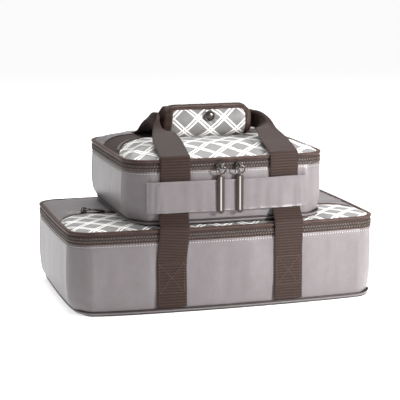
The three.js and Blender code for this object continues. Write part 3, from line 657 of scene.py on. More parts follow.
@dataclass
class Carrier:
    """One insulated carrier: base, padded wall, zipped band and lid, on one rounded plan.

    Its front and rear are how far those faces lie from the middle, its floor and top are heights, its
    pocket's two places are the zip's Y at the left and the right, and its straps lie at places on X.
    """

    prefix: str
    width: float
    front: float
    rear: float
    corner: float
    front_bow: float
    side_bow: float
    centre: float
    floor: float
    top: float
    band: float
    crown: float
    pocket_left: float
    pocket_right: float
    zip_width: float
    lid_body: str
    straps: tuple[float, ...]
    strip: float = 4.2
    piping: float = 3.0
    pocket_corner: float = 52.0
    pocket_turn: float = 13.0
    pocket_gap: float = 0.0
    print_at: Pair = (9.7, -0.5)
    seed: float = 0.0

    def __post_init__(self) -> None:
        """Works out the plan's straight halves and the runs of its outline."""
        self.half = self.width / 2 - self.side_bow
        self.flat_front = self.front - self.front_bow
        bend = self.corner * math.pi / 2
        side = self.flat_front + self.rear - 2 * self.corner
        across = self.half - self.corner
        self.runs = [across, bend, side, bend, 2 * across, bend, side, bend, across]
        self.round = sum(self.runs)
        self.corner_ends = [sum(self.runs[:count]) for count in range(1, 9)]

    def bowed(self, x: float, y: float) -> Pair:
        """Moves a point of the straight-sided plan onto the real plan, whose front and sides bow out."""
        middle = (self.rear - self.flat_front) / 2
        along = (y - middle) / (self.rear - middle)
        across = x / self.half
        grown = 1 + self.front_bow / self.flat_front * (1 - across ** 2) if y < 0 else 1
        wide = 1 + self.side_bow / self.half * (1 - along ** 2)
        return x * wide + self.centre, y * grown

    def face(self, x: float) -> float:
        """The front face's place on Y at a place on X."""
        return self.bowed(x - self.centre, -self.flat_front)[1]

    def outline(self, share: float, inset: float, crease: float = 0.0) -> Pair:
        """A point of the outline, which starts at the middle of the rear and runs to the left.

        Args:
            share: How far round the point is.
            inset: How far inside the outline it lies.
            crease: How much of a corner's roundness is flattened, as a share.

        Returns:
            X and Y.
        """
        radius = max(self.corner - inset, 0.6)
        half, rear, front = (reach - inset - radius for reach in (self.half, self.rear, self.flat_front))
        ways = [(-1, 1), (-1, -1), (1, -1), (1, 1)]
        left = share % 1.0 * self.round if share < 1.0 else self.round
        run = 0
        while run < len(self.runs) - 1 and left > self.runs[run]:
            left -= self.runs[run]
            run += 1
        at = left / self.runs[run]
        if run % 2:
            turn = math.pi / 2 * ((run + 1) // 2 + at)
            flat = radius * (1 - crease * math.sin(2 * turn) ** 2)
            side, end = ways[run // 2]
            x = side * half + flat * math.cos(turn)
            y = (rear if end > 0 else -front) + flat * math.sin(turn)
            return self.bowed(x, y)
        if run in (0, 8):
            x = -half * at if run == 0 else half * (1 - at)
            return self.bowed(x, rear + radius)
        if run == 4:
            return self.bowed(mix(-half, half, at), -front - radius)
        y = mix(rear, -front, at) if run == 2 else mix(-front, rear, at)
        return self.bowed((half + radius) * (-1 if run == 2 else 1), y)

    def ring(self, inset: float, height: float, steps: int = 480) -> list[Vector]:
        """The closed outline at an inset and a height, as points."""
        return [Vector((*self.outline(step / steps, inset), height)) for step in range(steps + 1)]

    def around(self, inset: float, height: float, pitch: float,
               limit: float | None = None) -> Iterator[Matrix]:
        """Evenly spaced places round the outline, each facing outward.

        Args:
            inset: How far inside the outline they lie.
            height: Their height.
            pitch: Their spacing.
            limit: Where given, only places in front of this Y are kept.

        Yields:
            The places.
        """
        for point, along in spaced(self.ring(inset, height), pitch):
            if limit is None or point.y < limit:
                yield frame_at(point, along, along.cross(UP))

    def inner(self, share: float, inset: float, crease: float) -> Pair:
        """The outline at an inset, which shrinks evenly to the middle of the plan past a deep one."""
        x, y = self.outline(share, min(inset, DEEP), crease)
        gone = CENTRE_SHARE * ease(DEEP, MIDDLE, inset)
        return mix(x, self.centre, gone), mix(y, (self.rear - self.front) / 2, gone)

    def tuck(self, share: float, height: float) -> float:
        """How far the foot draws in at a height: most at the left end, where the stack leans on it."""
        x, y = self.outline(share, 0)
        side = abs(x - self.centre) - self.half
        at_corner = math.exp(-(math.hypot(side, y + self.flat_front) / 34) ** 2)
        low = 1 - ease(0, 20, height - self.floor)
        return (6.0 * ease(-26, -1, side) + 4.5 * at_corner) * low ** 1.4 * (1.0 if x < self.centre else 0.2)

    def hoop(self, profile: Sequence[Pair], steps: int = 300, crease: float = 0.0,
             closed: bool = True, give: Callable[[float, float], float] | None = None,
             kept: Callable[[Vector], bool] | None = None) -> BMesh:
        """A band that runs round the plan with a profile.

        Args:
            profile: Insets and heights, in order.
            steps: Steps round the plan.
            crease: How flat its corners are.
            closed: Whether the profile closes on itself.
            give: Extra inset at a share of the way round and of the profile.
            kept: Where given, only points that it accepts are kept.

        Returns:
            The mesh.
        """
        rows = [*profile, profile[0]] if closed else list(profile)
        lengths = [math.dist(a, b) for a, b in zip(rows, rows[1:])]
        steps_along = len(rows) - 1

        def place(share: float, along: float) -> Vector:
            at = along * steps_along
            row = min(int(at + 1e-6), steps_along - 1)
            inset = mix(rows[row][0], rows[row + 1][0], at - row)
            height = mix(rows[row][1], rows[row + 1][1], at - row)
            inset += self.tuck(share, height)
            if give:
                inset += give(share, along) * ease(0, 0.02, min(share, 1 - share))
            return Vector((*self.inner(share, inset, crease), height))

        bm = surface(steps, steps_along, place, (self.round, sum(lengths)))
        if kept:
            cut = [one for one in bm.faces if not kept(one.calc_center_median() / MM)]
            bmesh.ops.delete(bm, geom=cut, context="FACES")
        if kept or not closed:
            close_ends(bm)
        return bm

    def near_strap(self, share: float) -> float:
        """One where a strap lies over the outline, and 0 away from the straps."""
        x, y = self.outline(share, 0)
        if abs(y) < self.rear * 0.8:
            return 0.0
        return max(1 - ease(WEBBING_WIDTH / 2, WEBBING_WIDTH * 0.75, abs(x - strap)) for strap in self.straps)

    def build_base(self) -> None:
        """The base panel with its upturned strip, the corded piping above it, and a dark ring at the foot
        that is mostly painted contact shadow.
        """
        top = self.floor + self.strip
        low = self.floor + 0.1
        rows = [(MIDDLE, low + 1.0), (30.0, low + 1.0), (6.0, low + 0.4), (2.9, low + 0.5), (1.6, low + 0.9),
                (0.9, low + 1.6), (0.6, low + 2.9), (0.9, top), (CLOTH + 0.5, top), (CLOTH + 0.8, low + 2.4),
                (4.0, low + CLOTH + 0.8), (30.0, low + CLOTH + 0.6), (MIDDLE, low + CLOTH + 0.6)]
        publish(f"{self.prefix}_base_cloth", self.hoop(rows, closed=False), GREY_CLOTH, "carriers",
                [f"{self.prefix}_base_panel"])
        # The second, lower cord is a thin dark ring at the foot: mostly painted contact shadow, partly the
        # base's edge.
        cords = (("base_cord", 0.1, top + 1.1, 1.15, [f"{self.prefix}_base_piping"]),
                 ("base_edge_shadow", 1.0, low + 0.85, 0.85, []))

        def under(share: float, along: float) -> float:
            return 0.26 * self.tuck(share, self.floor)

        for name, inset, middle, radius, nodes in cords:
            turns = [TURN * step / 10 for step in range(10)]
            ring = [(inset + radius * (0.2 - math.cos(turn)), middle + radius * math.sin(turn))
                    for turn in turns]
            publish(f"{self.prefix}_{name}", self.hoop(ring, give=under), PIPING, "carriers", nodes)
        rows = [(MIDDLE, low + 2.0), (CLOTH + 3, low + 2.0), (CLOTH + 2, low + 2.6), (CLOTH + 3, top - 0.4),
                (MIDDLE, top - 0.4)]
        publish(f"{self.prefix}_stiff_board", self.hoop(rows, steps=120, closed=False), BOARD, "carriers",
                [f"{self.prefix}_base_board"])

    def build_wall(self) -> None:
        """The padded wall: cloth outside, foam at the rim, and the welded lining inside."""
        low = self.floor + self.strip + 2.0
        high = self.top - self.band - CLEARANCE
        tall = high - low
        count = 22

        def tucked(up: float) -> float:
            return 0.9 * (1 - ease(0, 4, tall - up)) + 1.5 * (1 - ease(0, 0.4 * tall, up))

        outside = [(tucked(tall * step / count), low + tall * step / count) for step in range(count + 1)]
        rim = self.coil_row(0)
        inside = [(CLOTH + 1.2, high + 0.3), (CLOTH + 3.0, rim), (CLOTH + INSULATION, rim - 0.4),
                  (CLOTH + INSULATION, low)]

        def give(share: float, along: float) -> float:
            x = self.outline(share, 0)[0]
            height = along * (len(outside) + len(inside)) / count
            if height > 1:
                return 0.0
            free = (1 - self.near_strap(share)) * math.sin(math.pi * height) ** 0.5
            calm = mix(1.0, 0.3, ease(-20, 0, abs(x - self.centre) - self.half))
            fold = ripple(share * self.round / 30, height * 0.7, self.seed) * 1.9 * calm
            fold += ripple(share * self.round / 11, height * 1.3, self.seed + 7) * 0.3 * calm
            swell = -0.9 * math.sin(math.pi * height) ** 0.6
            pinch = sum(math.exp(-((share * self.round - at) / 2.6) ** 2) for at in self.corner_ends)
            return free * (swell + fold - 0.75 * pinch)

        bm = self.hoop([*outside, *inside], steps=520, crease=0.1, give=give)
        wall = publish(f"{self.prefix}_padded_wall", bm, GREY_CLOTH, "carriers",
                       [f"{self.prefix}_wall_cloth", f"{self.prefix}_insulation"])
        deep = CLOTH + INSULATION + 2 * CLEARANCE
        floor = self.floor + 10.6
        rows = [(deep, rim + 0.2), (deep, mix(rim, floor, 0.3)), (deep, mix(rim, floor, 0.7)),
                (deep, floor + 3), (deep + 1.0, floor + 0.8), (deep + 4.0, floor), (deep + 20, floor + 0.3),
                (60, floor), (MIDDLE, floor - 0.2)]
        under = [(inset + (LINING if step < 6 else 0), height + (LINING if step > 3 else 0))
                 for step, (inset, height) in enumerate(rows)]
        shell = [*reversed(under), *rows]

        def crinkle(share: float, along: float) -> float:
            return ripple(share * self.round / 17, along * 14, self.seed + 3) * 0.25

        publish(f"{self.prefix}_welded_lining", self.hoop(shell, steps=200, closed=False, give=crinkle), FILM,
                "carriers", [f"{self.prefix}_lining"])

    def coil_row(self, half: int) -> float:
        """The height of the foot of the body's row of teeth, or of the lid's."""
        upper = self.top - BINDING_HEIGHT - 2 * CLEARANCE - TAPE_HEIGHT - COIL_HEIGHT
        return upper if half else upper - CLEARANCE - COIL_HEIGHT

    @staticmethod
    def tape_rows(low: float, high: float) -> list[Pair]:
        """A strip of zip tape with two woven ridges, as a profile."""
        outer = [(0.45 - 0.22 * math.cos(TURN * 2 * step / 8), mix(low, high, step / 8)) for step in range(9)]
        return [*outer, (CLOTH, high), (CLOTH, low)]

    def build_band(self, hinge: float | None) -> None:
        """The zipped band: tapes, two rows of teeth, the lid's binding, and the stitching below.

        Args:
            hinge: Where the lid opens, the Y in front of which its half of the band moves.
        """
        below = (self.top - self.band, self.coil_row(0) - 0.1)
        above = (self.coil_row(1) + COIL_HEIGHT + 0.1, self.top - BINDING_HEIGHT - 0.1)
        moving = (lambda point: point.y < hinge - CLEARANCE) if hinge else None
        publish(f"{self.prefix}_tape_under_teeth", self.hoop(self.tape_rows(*below)), TAPE, "carriers",
                [f"{self.prefix}_zip_tape_below"])
        publish(f"{self.prefix}_tape_over_teeth", self.hoop(self.tape_rows(*above), kept=moving), TAPE,
                self.lid_body, [f"{self.prefix}_zip_tape_above"])
        tooth = small_mesh("tooth", (1.5, 1.5, 3.0), 0.3)
        coils = ["zip_coil_below", "zip_coil_above"] if hinge else ["zip_coil"]
        for half, part in enumerate(("body", "lid")):
            core = self.coil_row(half)
            shift = Matrix.Translation((half * TOOTH_PITCH / 2 * MM, 0, 0))
            limit = hinge - 1 if hinge and half else None
            places = self.around(0.1, core + (1.6 if half else -0.35), TOOTH_PITCH, limit)
            tilt = Matrix.Rotation(math.radians(38 if half else -38), 4, "Y")
            bm = scatter(tooth, (place @ shift @ tilt for place in places))
            body = self.lid_body if half else "carriers"
            replaced = [f"{self.prefix}_{coils[half]}"] if half < len(coils) else []
            publish(f"{self.prefix}_teeth_{part}", bm, COIL, body, replaced)
            # A dark strip behind each row of teeth: partly the coil's cord, partly painted shade in the gaps
            # between the teeth.
            low, high = (core + 0.1, core + 3.1) if half else (core - 1.9, core + COIL_HEIGHT)
            rows = [(0.2, low), (0.2, high), (CLOTH, high), (CLOTH, low)]
            bm = self.hoop(rows, kept=moving if half else None)
            publish(f"{self.prefix}_coil_core_shade_{part}", bm, PIPING, body)
        foot, top = self.top - BINDING_HEIGHT, self.top
        count = 16
        radius_y, radius_z = (BINDING_WIDTH + BINDING_PROUD) / 2, (top - foot) / 2

        def roll(step: int) -> Pair:
            turn = TURN * step / count
            across = squared(math.cos(turn), 0.75)
            rise = squared(math.sin(turn), 0.75)
            return (BINDING_WIDTH - BINDING_PROUD) / 2 - radius_y * across, foot + radius_z * (1 + rise)

        def pucker(share: float, along: float) -> float:
            return ripple(share * self.round / 7, along * 3, self.seed + 5) * 0.22

        bm = self.hoop([roll(step) for step in range(count)], steps=420, give=pucker, kept=moving)
        publish(f"{self.prefix}_lid_edge_binding", bm, BINDING, self.lid_body, [f"{self.prefix}_lid_binding"])
        # A thin dark strip in the groove under the binding: painted shade.
        groove_shade = foot - 0.35
        rows = [(0.1, groove_shade - 0.35), (0.1, groove_shade + 0.35), (CLOTH, groove_shade + 0.35), (CLOTH, groove_shade - 0.35)]
        publish(f"{self.prefix}_under_binding_shade", self.hoop(rows, kept=moving), PIPING, self.lid_body)
        stitch = (1.9, 0.8, 0.9)
        seam = self.top - self.band
        topstitch((f"{self.prefix}_wall_topstitch", f"{self.prefix}_wall_stitch_hole_shade"),
                  list(self.around(0.0, seam - 2.9, STITCH_PITCH)), stitch, (1.5, 0.8, 0.9))
        bm = scatter(small_mesh("stitch", stitch, 0.4), self.around(-0.05, seam + 0.7, STITCH_PITCH))
        publish(f"{self.prefix}_tape_topstitch", bm, BROWN_THREAD, "carriers")

    @property
    def wide(self) -> bool:
        """Whether the pocket's zip lies in a wide strip of ribbed webbing."""
        return self.zip_width > WIDE_STRIP

    def pocket_line(self, x: float, behind: bool = False) -> float:
        """Where a long edge of the pocket's zip lies on Y at a place on X; both curve forward at their ends.

        Args:
            x: The place.
            behind: Whether it is the rear edge, which turns later where the strip is wide.
        """
        wide = behind and self.wide
        from_left = x - (self.centre - self.width / 2)
        from_right = self.width - from_left
        near, level = from_right, self.pocket_right
        if from_left < from_right:
            near, level = from_left, self.pocket_left
        near -= 0 if wide else self.pocket_gap
        level += self.zip_width if behind else 0
        corner, turn = (34.0, 8.0) if wide else (self.pocket_corner, self.pocket_turn)
        if near >= corner and wide:
            return level
        if near >= corner:
            share = (from_left - corner) / (self.width - 2 * corner)
            return mix(self.pocket_left, self.pocket_right, share) + (self.zip_width if behind else 0)
        square, slope = corner - 2 * turn, 2 * (corner - turn)
        root = math.sqrt(max(slope ** 2 - 4 * square * (corner - max(near, 0.0)), 0.0))
        return level - corner * ((slope - root) / (2 * square)) ** 2

    def limits(self, x: float, inset: float) -> Pair:
        """The front and rear ends of the lid's cloth at a place on the straight plan."""
        radius = self.corner - inset
        over = max(abs(x) - (self.half - inset - radius), 0.0)
        drop = radius - math.sqrt(max(radius ** 2 - over ** 2, 0.0))
        return -(self.flat_front - inset) + drop, self.rear - inset - drop

    def lid_height(self, x: float, y: float, inset: float) -> float:
        """The lid cloth's height at a place on the straight plan: a pillow, tucked under its binding."""
        front, rear = self.limits(x, inset)
        side = self.half - inset - abs(x)
        rise = 1.0
        for gap in (side, y - front, rear - y):
            rise *= 1 - math.exp(-(max(gap, 0.0) / 17) ** 1.25)
        line = self.pocket_line(x + self.centre)
        valley = math.exp(-((y - line - 2) / 9) ** 2) * self.crown * 0.22
        return self.top - BINDING_PROUD - 0.4 + (self.crown - valley) * rise

    def build_lid(self) -> None:
        """The lid: lattice pocket in front, its zip behind it, a plain panel at the rear, foam and film."""
        inset = BINDING_WIDTH - 0.9
        reach = self.half - inset
        body = self.lid_body

        def columns(share: float) -> float:
            return -reach * math.cos(math.pi * share) * 0.5 - reach * (1 - 2 * share) * 0.5

        def panel(front: Callable[[float], float], rear: Callable[[float], float], lift: float) -> Place:
            def place(across: float, along: float) -> Vector:
                x = columns(across)
                start, end = front(x), rear(x)
                y = mix(start, end, along)
                puffed = lift * math.sin(math.pi * along) ** 0.5 * math.sin(math.pi * across) ** 0.4
                low = self.lid_height(x, y, inset)
                return Vector((*self.bowed(x, y), low + puffed))
            return place

        def begin(x: float) -> float:
            return max(self.limits(x, inset)[0], -self.flat_front)

        def far_end(x: float) -> float:
            return self.limits(x, inset)[1]

        def seam(behind: bool, gap: float) -> Callable[[float], float]:
            def at(x: float) -> float:
                line = self.pocket_line(x + self.centre, behind)
                return max(min(line, far_end(x) - 1), begin(x)) + gap
            return at

        slack = 0.6 if self.crown < 4 else 1.0
        print_x, print_y = (place * MM for place in self.print_at)
        pieces = (("lattice_pocket", begin, seam(False, -0.6), LATTICE, "lid_pocket_panel"),
                  ("rear_cloth", seam(True, 0.3), far_end, GREY_CLOTH, "lid_rear_panel"))
        for name, front, rear, finish, node in pieces:
            bm = surface(150, 60, panel(front, rear, slack))
            lay_pattern(bm, lambda point, was: (point.x - print_x, point.y - print_y))
            face_outward(bm, UP)
            puff(bm, pressure=2.2, spare=0.012, most=2.0 * slack)
            thicken(bm, CLOTH)
            made = publish(f"{self.prefix}_lid_{name}", bm, finish, body, [f"{self.prefix}_{node}"])
        self.build_pocket_zip(inset, seam(False, 0), seam(True, 0), columns)
        under = self.coil_row(1) + COIL_HEIGHT + CLEARANCE
        rows = [(MIDDLE, self.top - 3.0), (inset + 1.5, self.top - 3.0), (inset + 1.0, under + 1.2),
                (inset + 1.6, under), (MIDDLE, under - 0.3)]
        pad = publish(f"{self.prefix}_lid_foam", self.hoop(rows, steps=160, closed=False), FOAM, body,
                      [f"{self.prefix}_lid_insulation"])
        base = under - LINING - CLEARANCE
        rows = [(MIDDLE, under - 0.1), (inset + 1, under - 0.1), (inset + 0.6, base + 0.2), (inset + 3, base),
                (inset + 12, base + 0.3), (50, base), (MIDDLE, base - 0.1)]

        def crinkle(share: float, along: float) -> float:
            return ripple(share * self.round / 15, along * 9, self.seed + 4) * 0.3

        publish(f"{self.prefix}_lid_film", self.hoop(rows, steps=160, closed=False, give=crinkle), FILM, body,
                [f"{self.prefix}_lid_lining"])

    def build_pocket_zip(self, inset: float, line: Callable[[float], float],
                         behind: Callable[[float], float], columns: Callable[[float], float]) -> None:
        """The pocket's zip: a corded edge on the pocket, tape, and one closed row of teeth.

        Args:
            inset: The lid cloth's inset.
            line: The pocket edge's Y at a place on the straight plan.
            behind: The rear panel's edge there.
            columns: Spreads shares over the lid's width.
        """
        body = self.lid_body
        edge = 0.96

        def on_lid(x: float, share: float, gap: float, rise: float) -> Vector:
            y = mix(line(x), behind(x), share) + gap
            return Vector((*self.bowed(x, y), self.lid_height(x, y, inset) + rise))

        def tape(across: float, along: float) -> Vector:
            x = columns(across)
            slant = across * self.width + along * STRIP_SLANT
            rib = 0.3 * math.cos(TURN * slant / RIB_PITCH) if self.wide else 0.0
            dip = -0.5 + 0.5 * abs(2 * along - 1)
            return on_lid(x, along, mix(-0.6, 1.2, along), 0.2 + dip + rib)

        def slanted(point: Vector, was: Vector) -> Pair:
            return was.x, was.y + was.x / (self.zip_width * MM) * STRIP_SLANT * MM

        bm = surface(16, 420, lambda along, across: tape(across, along), (self.zip_width, self.width))
        if self.wide:
            lay_pattern(bm, slanted)
        face_outward(bm, UP)
        thicken(bm, TAPE_THICKNESS)
        dress = WEBBING if self.wide else PIPING
        publish(f"{self.prefix}_pocket_tape", bm, dress, body, [f"{self.prefix}_pocket_zip"])
        cords = (("pocket_edge_cord", 0, 1.7, BINDING), ("rear_edge_fold", 1, 1.0, PIPING))
        for name, share, radius, finish in cords:
            def tube(across: float, along: float) -> Vector:
                x = edge * columns(across)
                turn = TURN * along
                gap, rise = 0.9 * share + radius * math.cos(turn), 0.55 + 0.8 * radius * math.sin(turn)
                return on_lid(x, share, gap, rise)

            bm = closed_form(160, 10, tube, (self.width, TURN * radius))
            publish(f"{self.prefix}_{name}", bm, finish, body)
        tooth = small_mesh("pocket_tooth", (1.2, min(self.zip_width * 0.42, 4.0), 1.1), 0.3)
        share, middle = (0.0, 8.4) if self.wide else (0.5, 1.15)
        run = [on_lid(edge * columns(step / 160), share, middle, 0.75) for step in range(161)]
        lean = Matrix.Rotation(math.radians(28), 4, "Z")
        places = (frame_at(point, along, UP.cross(along)) for point, along in spaced(run, 1.9))
        bm = scatter(tooth, (place @ lean for place in places))
        publish(f"{self.prefix}_pocket_teeth", bm, COIL, body)

    def build_hinge(self, hinge: float) -> None:
        """The cloth hinge behind the lid, which carries the rear of the binding."""
        low, high = self.coil_row(1), self.top - 0.3
        rises = ((0.5, 0), (0.1, 0.2), (0.0, 0.4), (-0.3, 0.55), (-0.7, 0.7), (-0.8, 0.85))
        rows = [*((inset, mix(low, high, share)) for inset, share in rises),
                (-0.2, high), (2.0, high), (2.1, low)]
        bm = self.hoop(rows, kept=lambda point: point.y > hinge - CLEARANCE)
        axis = Vector((self.centre, self.rear, self.top))
        bend = Bend("carriers", self.lid_body, axis - UP * 6.5, axis)
        publish(f"{self.prefix}_hinge_cloth", bm, BINDING, bend, [f"{self.prefix}_hinge_strip"])

    def build(self, hinge: float | None) -> None:
        """Builds every piece of the carrier.

        Args:
            hinge: The Y in front of which the lid's half of the band opens, or nothing.
        """
        self.build_base()
        self.build_wall()
        self.build_band(hinge)
        self.build_lid()
        if hinge:
            self.build_hinge(hinge)


# Straps


def spline(points: Sequence[Vector], pitch: float) -> list[Vector]:
    """A smooth line through points, at an even spacing.

    Args:
        points: The points that it passes, in millimetres.
        pitch: The spacing.

    Returns:
        The line's points.
    """
    ends = [points[0] * 2 - points[1], *points, points[-1] * 2 - points[-2]]
    fine: list[Vector] = []
    for one, two, three, four in zip(ends, ends[1:], ends[2:], ends[3:]):
        knots = [0.0]
        for a, b in ((one, two), (two, three), (three, four)):
            knots.append(knots[-1] + (b - a).length ** 0.5)

        def between(a: Vector, b: Vector, low: float, high: float, at: float) -> Vector:
            return a * ((high - at) / (high - low)) + b * ((at - low) / (high - low))

        for step in range(24):
            at = mix(knots[1], knots[2], step / 24)
            a1 = between(one, two, knots[0], knots[1], at)
            a2 = between(two, three, knots[1], knots[2], at)
            a3 = between(three, four, knots[2], knots[3], at)
            fine.append(between(between(a1, a2, knots[0], knots[2], at),
                                between(a2, a3, knots[1], knots[3], at), knots[1], knots[2], at))
    fine.append(points[-1])
    length = sum((b - a).length for a, b in zip(fine, fine[1:]))
    count = max(int(length / pitch), 2)
    even, walked, index = [fine[0]], 0.0, 0
    for step in range(1, count):
        wanted = length * step / count
        while walked + (fine[index + 1] - fine[index]).length < wanted:
            walked += (fine[index + 1] - fine[index]).length
            index += 1
        part = (wanted - walked) / (fine[index + 1] - fine[index]).length
        even.append(fine[index].lerp(fine[index + 1], part))
    return [*even, fine[-1]]


class Side(Enum):
    """The face of the stack that a strap or a sleeve lies on."""

    FRONT = "front"
    REAR = "rear"

    @property
    def out(self) -> int:
        """The way that the face looks, on Y."""
        return -1 if self is Side.FRONT else 1


@dataclass
class Strap:
    """One webbing strap: sewn to the lower wall, up past the upper one and through the grip.

    Its three pairs are places on X, left and right: where it is sewn, at the sleeve and at the edge.
    """

    side: Side
    lower: Carrier
    upper: Carrier
    sewn: Pair
    sleeved: Pair
    edged: Pair
    wrap_middle: float = 5.5
    wrap_length: float = 118.0
    wrap_height: float = 224.0
    sewn_top: float = 65.0
    sleeve_low: float = 125.0
    sleeve_high: float = 164.5
    gripped: float = 23.0

    @property
    def out(self) -> int:
        """The way that the strap's face of the stack looks, on Y."""
        return self.side.out

    def face(self, carrier: Carrier, x: float) -> float:
        """The wall's place on Y beside the strap."""
        return carrier.face(x) if self.out < 0 else carrier.rear

    def half_path(self, way: int) -> list[Vector]:
        """The middle line of one half, from its sewn foot to the middle of the grip.

        Args:
            way: 0 for the left half and 1 for the right.
        """
        out, half = self.out, WEBBING_THICKNESS / 2
        sewn, sleeved, edged = self.sewn[way], self.sleeved[way], self.edged[way]
        lower_wall = self.face(self.lower, sewn) + out * (CLEARANCE + half)
        lower_band = lower_wall + out * (BINDING_PROUD + 2 * CLEARANCE)
        upper_wall = self.face(self.upper, sleeved) + out * (2 * CLEARANCE + half)
        upper_band = self.face(self.upper, edged) + out * (BINDING_PROUD + 2 * CLEARANCE + half)
        slope = (sleeved - sewn) / (self.sleeve_low - self.sewn_top)

        def x_at(z: float) -> float:
            return sewn + slope * (z - self.sewn_top)

        piping_top = self.upper.floor + self.upper.strip + self.upper.piping + CLEARANCE
        share = (piping_top - self.lower.top) / (self.sleeve_low - self.lower.top)
        over = out * max(out * mix(lower_band, upper_wall, share), out * upper_wall + 0.9)
        outermost = out * max(out * lower_band, out * upper_wall + 0.9)
        lower_foot = self.lower.floor + self.lower.strip + self.lower.piping + 2 * CLEARANCE
        over_edge = self.upper.top + WEBBING_THICKNESS + BINDING_PROUD
        toward = 1 if way else -1
        end = self.wrap_middle + (self.wrap_length / 2 + CLEARANCE) * toward
        turned = end + 9 * toward
        grip = out * (half + CLEARANCE)
        arch = 3 if out < 0 else -6
        flat = [(sewn, lower_wall, lower_foot), (sewn, lower_wall, mix(lower_foot, self.sewn_top, 0.5)),
                (sewn, lower_wall, self.sewn_top), (x_at(84), mix(lower_wall, lower_band, 0.35), 84.0),
                (x_at(101), lower_band, 101.0), (x_at(106.7), outermost, self.lower.top),
                (x_at(piping_top), over, piping_top), (sleeved, upper_wall, self.sleeve_low),
                (mix(sleeved, edged, 0.5), upper_wall, mix(self.sleeve_low, self.sleeve_high, 0.5)),
                (edged, upper_wall, self.sleeve_high),
                (edged, upper_band, self.upper.top - self.upper.band),
                (edged, upper_band, self.upper.top - BINDING_HEIGHT),
                (edged, upper_band, self.upper.top - BINDING_PROUD),
                (edged, upper_band - out * WEBBING_THICKNESS, over_edge),
                (edged, upper_band - out * 2 * BINDING_WIDTH, over_edge + 3),
                ((edged + turned) / 2, upper_band / 2, (over_edge + self.wrap_height) / 2 + arch),
                (turned, out * 30, self.wrap_height - BINDING_HEIGHT + min(arch, 0)),
                (turned, out * 15, self.wrap_height - BINDING_PROUD),
                ((turned + end) / 2, grip + out * 3, self.wrap_height),
                (end, grip, self.wrap_height), (self.wrap_middle, grip, self.wrap_height)]
        return [Vector(point) for point in flat]

    def build(self) -> None:
        """Builds the ribbed strap with its pleated grip, then the stitching at its two feet."""
        left, right = self.half_path(0), self.half_path(1)
        middle = [spline(left, 0.45), list(reversed(spline(right, 0.45)))]
        path = [*middle[0], *middle[1][1:]]
        count = len(path)
        lengths = [0.0]
        for near, far in zip(path, path[1:]):
            lengths.append(lengths[-1] + (far - near).length)
        whole = lengths[-1]
        over_edge = self.upper.top + 6

        def frame_of(step: int) -> tuple[Vector, Vector, Vector, float, float]:
            point = path[step]
            along = (path[min(step + 2, count - 1)] - path[max(step - 2, 0)]).normalized()
            right_half = step > len(middle[0]) - 1
            flat = RIGHT.copy()
            if self.out < 0:
                carrier = self.lower if point.z < 112 else self.upper
                slope = (carrier.face(point.x + 2) - carrier.face(point.x - 2)) / 4
                flat = Vector((1, slope, 0))
            if right_half:
                flat = -flat
            edge_y = abs(self.face(self.upper, self.edged[0]))
            reach = 1 - min(abs(point.y) / edge_y, 1.0) if point.z > over_edge else 0.0
            risen = ease(0.55, 0.93, reach)
            across = flat.lerp(Vector((0, 0, -1)), risen)
            across = (across - along * across.dot(along)).normalized()
            narrow = ease(0.3, 0.82, reach)
            return point, along, across, mix(WEBBING_WIDTH, self.gripped, narrow), narrow

        frames = [frame_of(step) for step in range(count)]
        sides = 22

        def place(around: float, share: float) -> Vector:
            step = min(int(share * (count - 1) + 0.5), count - 1)
            point, along, across, width, narrow = frames[step]
            face = along.cross(across)
            turn = TURN * around
            side = squared(math.cos(turn), 0.55) * 0.5
            upright = abs(along.z)
            depth = mix(0.02, 0.32, ease(0.6, 0.95, upright))
            rib = math.cos(TURN * lengths[step] / RIB_PITCH) * depth * (1 - 0.8 * narrow)
            thick = WEBBING_THICKNESS / 2 * (1 + 0.06 * ripple(lengths[step] / 6, side * 3))
            rise = squared(math.sin(turn), 0.4) * (thick + rib * 0.55 - 0.1)
            slack = math.sin(math.pi * min(max((point.z - over_edge) / 26, 0.0), 1.0))
            pleat = narrow * (1.3 * math.sin(side * 3 * math.pi + 0.6) + 0.5 * math.sin(side * 7 * math.pi))
            sag = slack * 0.8 * ripple(lengths[step] / 31, side * 1.4, self.out * 3.0)
            edge = 0.25 * ripple(lengths[step] / 13, self.out * 5.0, round(side))
            return point + across * (side * width + edge * (1 - narrow)) + face * (rise + pleat * 0.8 + sag)

        bm = closed_form(sides, count - 1, place, (2 * WEBBING_WIDTH, whole))
        # The plain layer weakens the painted groove shade above the upper edge and takes it away along the
        # fold there.
        plain = bm.verts.layers.float.new("plain")
        for vert in bm.verts:
            high = vert.co.z / MM
            folded = math.exp(-((high - over_edge + 5) / 2.5) ** 2)
            vert[plain] = ease(over_edge - 7, over_edge - 3, high) * mix(0.32, 1.0, folded)
        axis = Vector((0, self.face(self.upper, 0), 0))
        hinge = self.upper.top - BINDING_HEIGHT
        side = self.side.value
        bend = Bend("carriers", f"{side}_loop", axis + UP * (hinge - 3.6), axis + UP * (hinge + 3.4))
        nodes = [f"{side}_left_riser", f"{side}_right_riser", f"{side}_loop_webbing"]
        publish(f"{side}_carry_strap", bm, WEBBING, bend, nodes, sharp=60)
        self.sew()

    def sew(self) -> None:
        """Sews each foot down: a box of stitches with a cross in it."""
        stitch = small_mesh("stitch", (1.7, 0.5, 0.5), 0.5)
        outward = Vector((0, self.out, 0))
        half, low, high = WEBBING_WIDTH / 2 - 3.4, 26.5, 63.5
        places: list[Matrix] = []

        def laid(x: float, z: float) -> Vector:
            skin = self.out * (CLEARANCE + WEBBING_THICKNESS + 0.15)
            return Vector((x, self.face(self.lower, x) + skin, z))

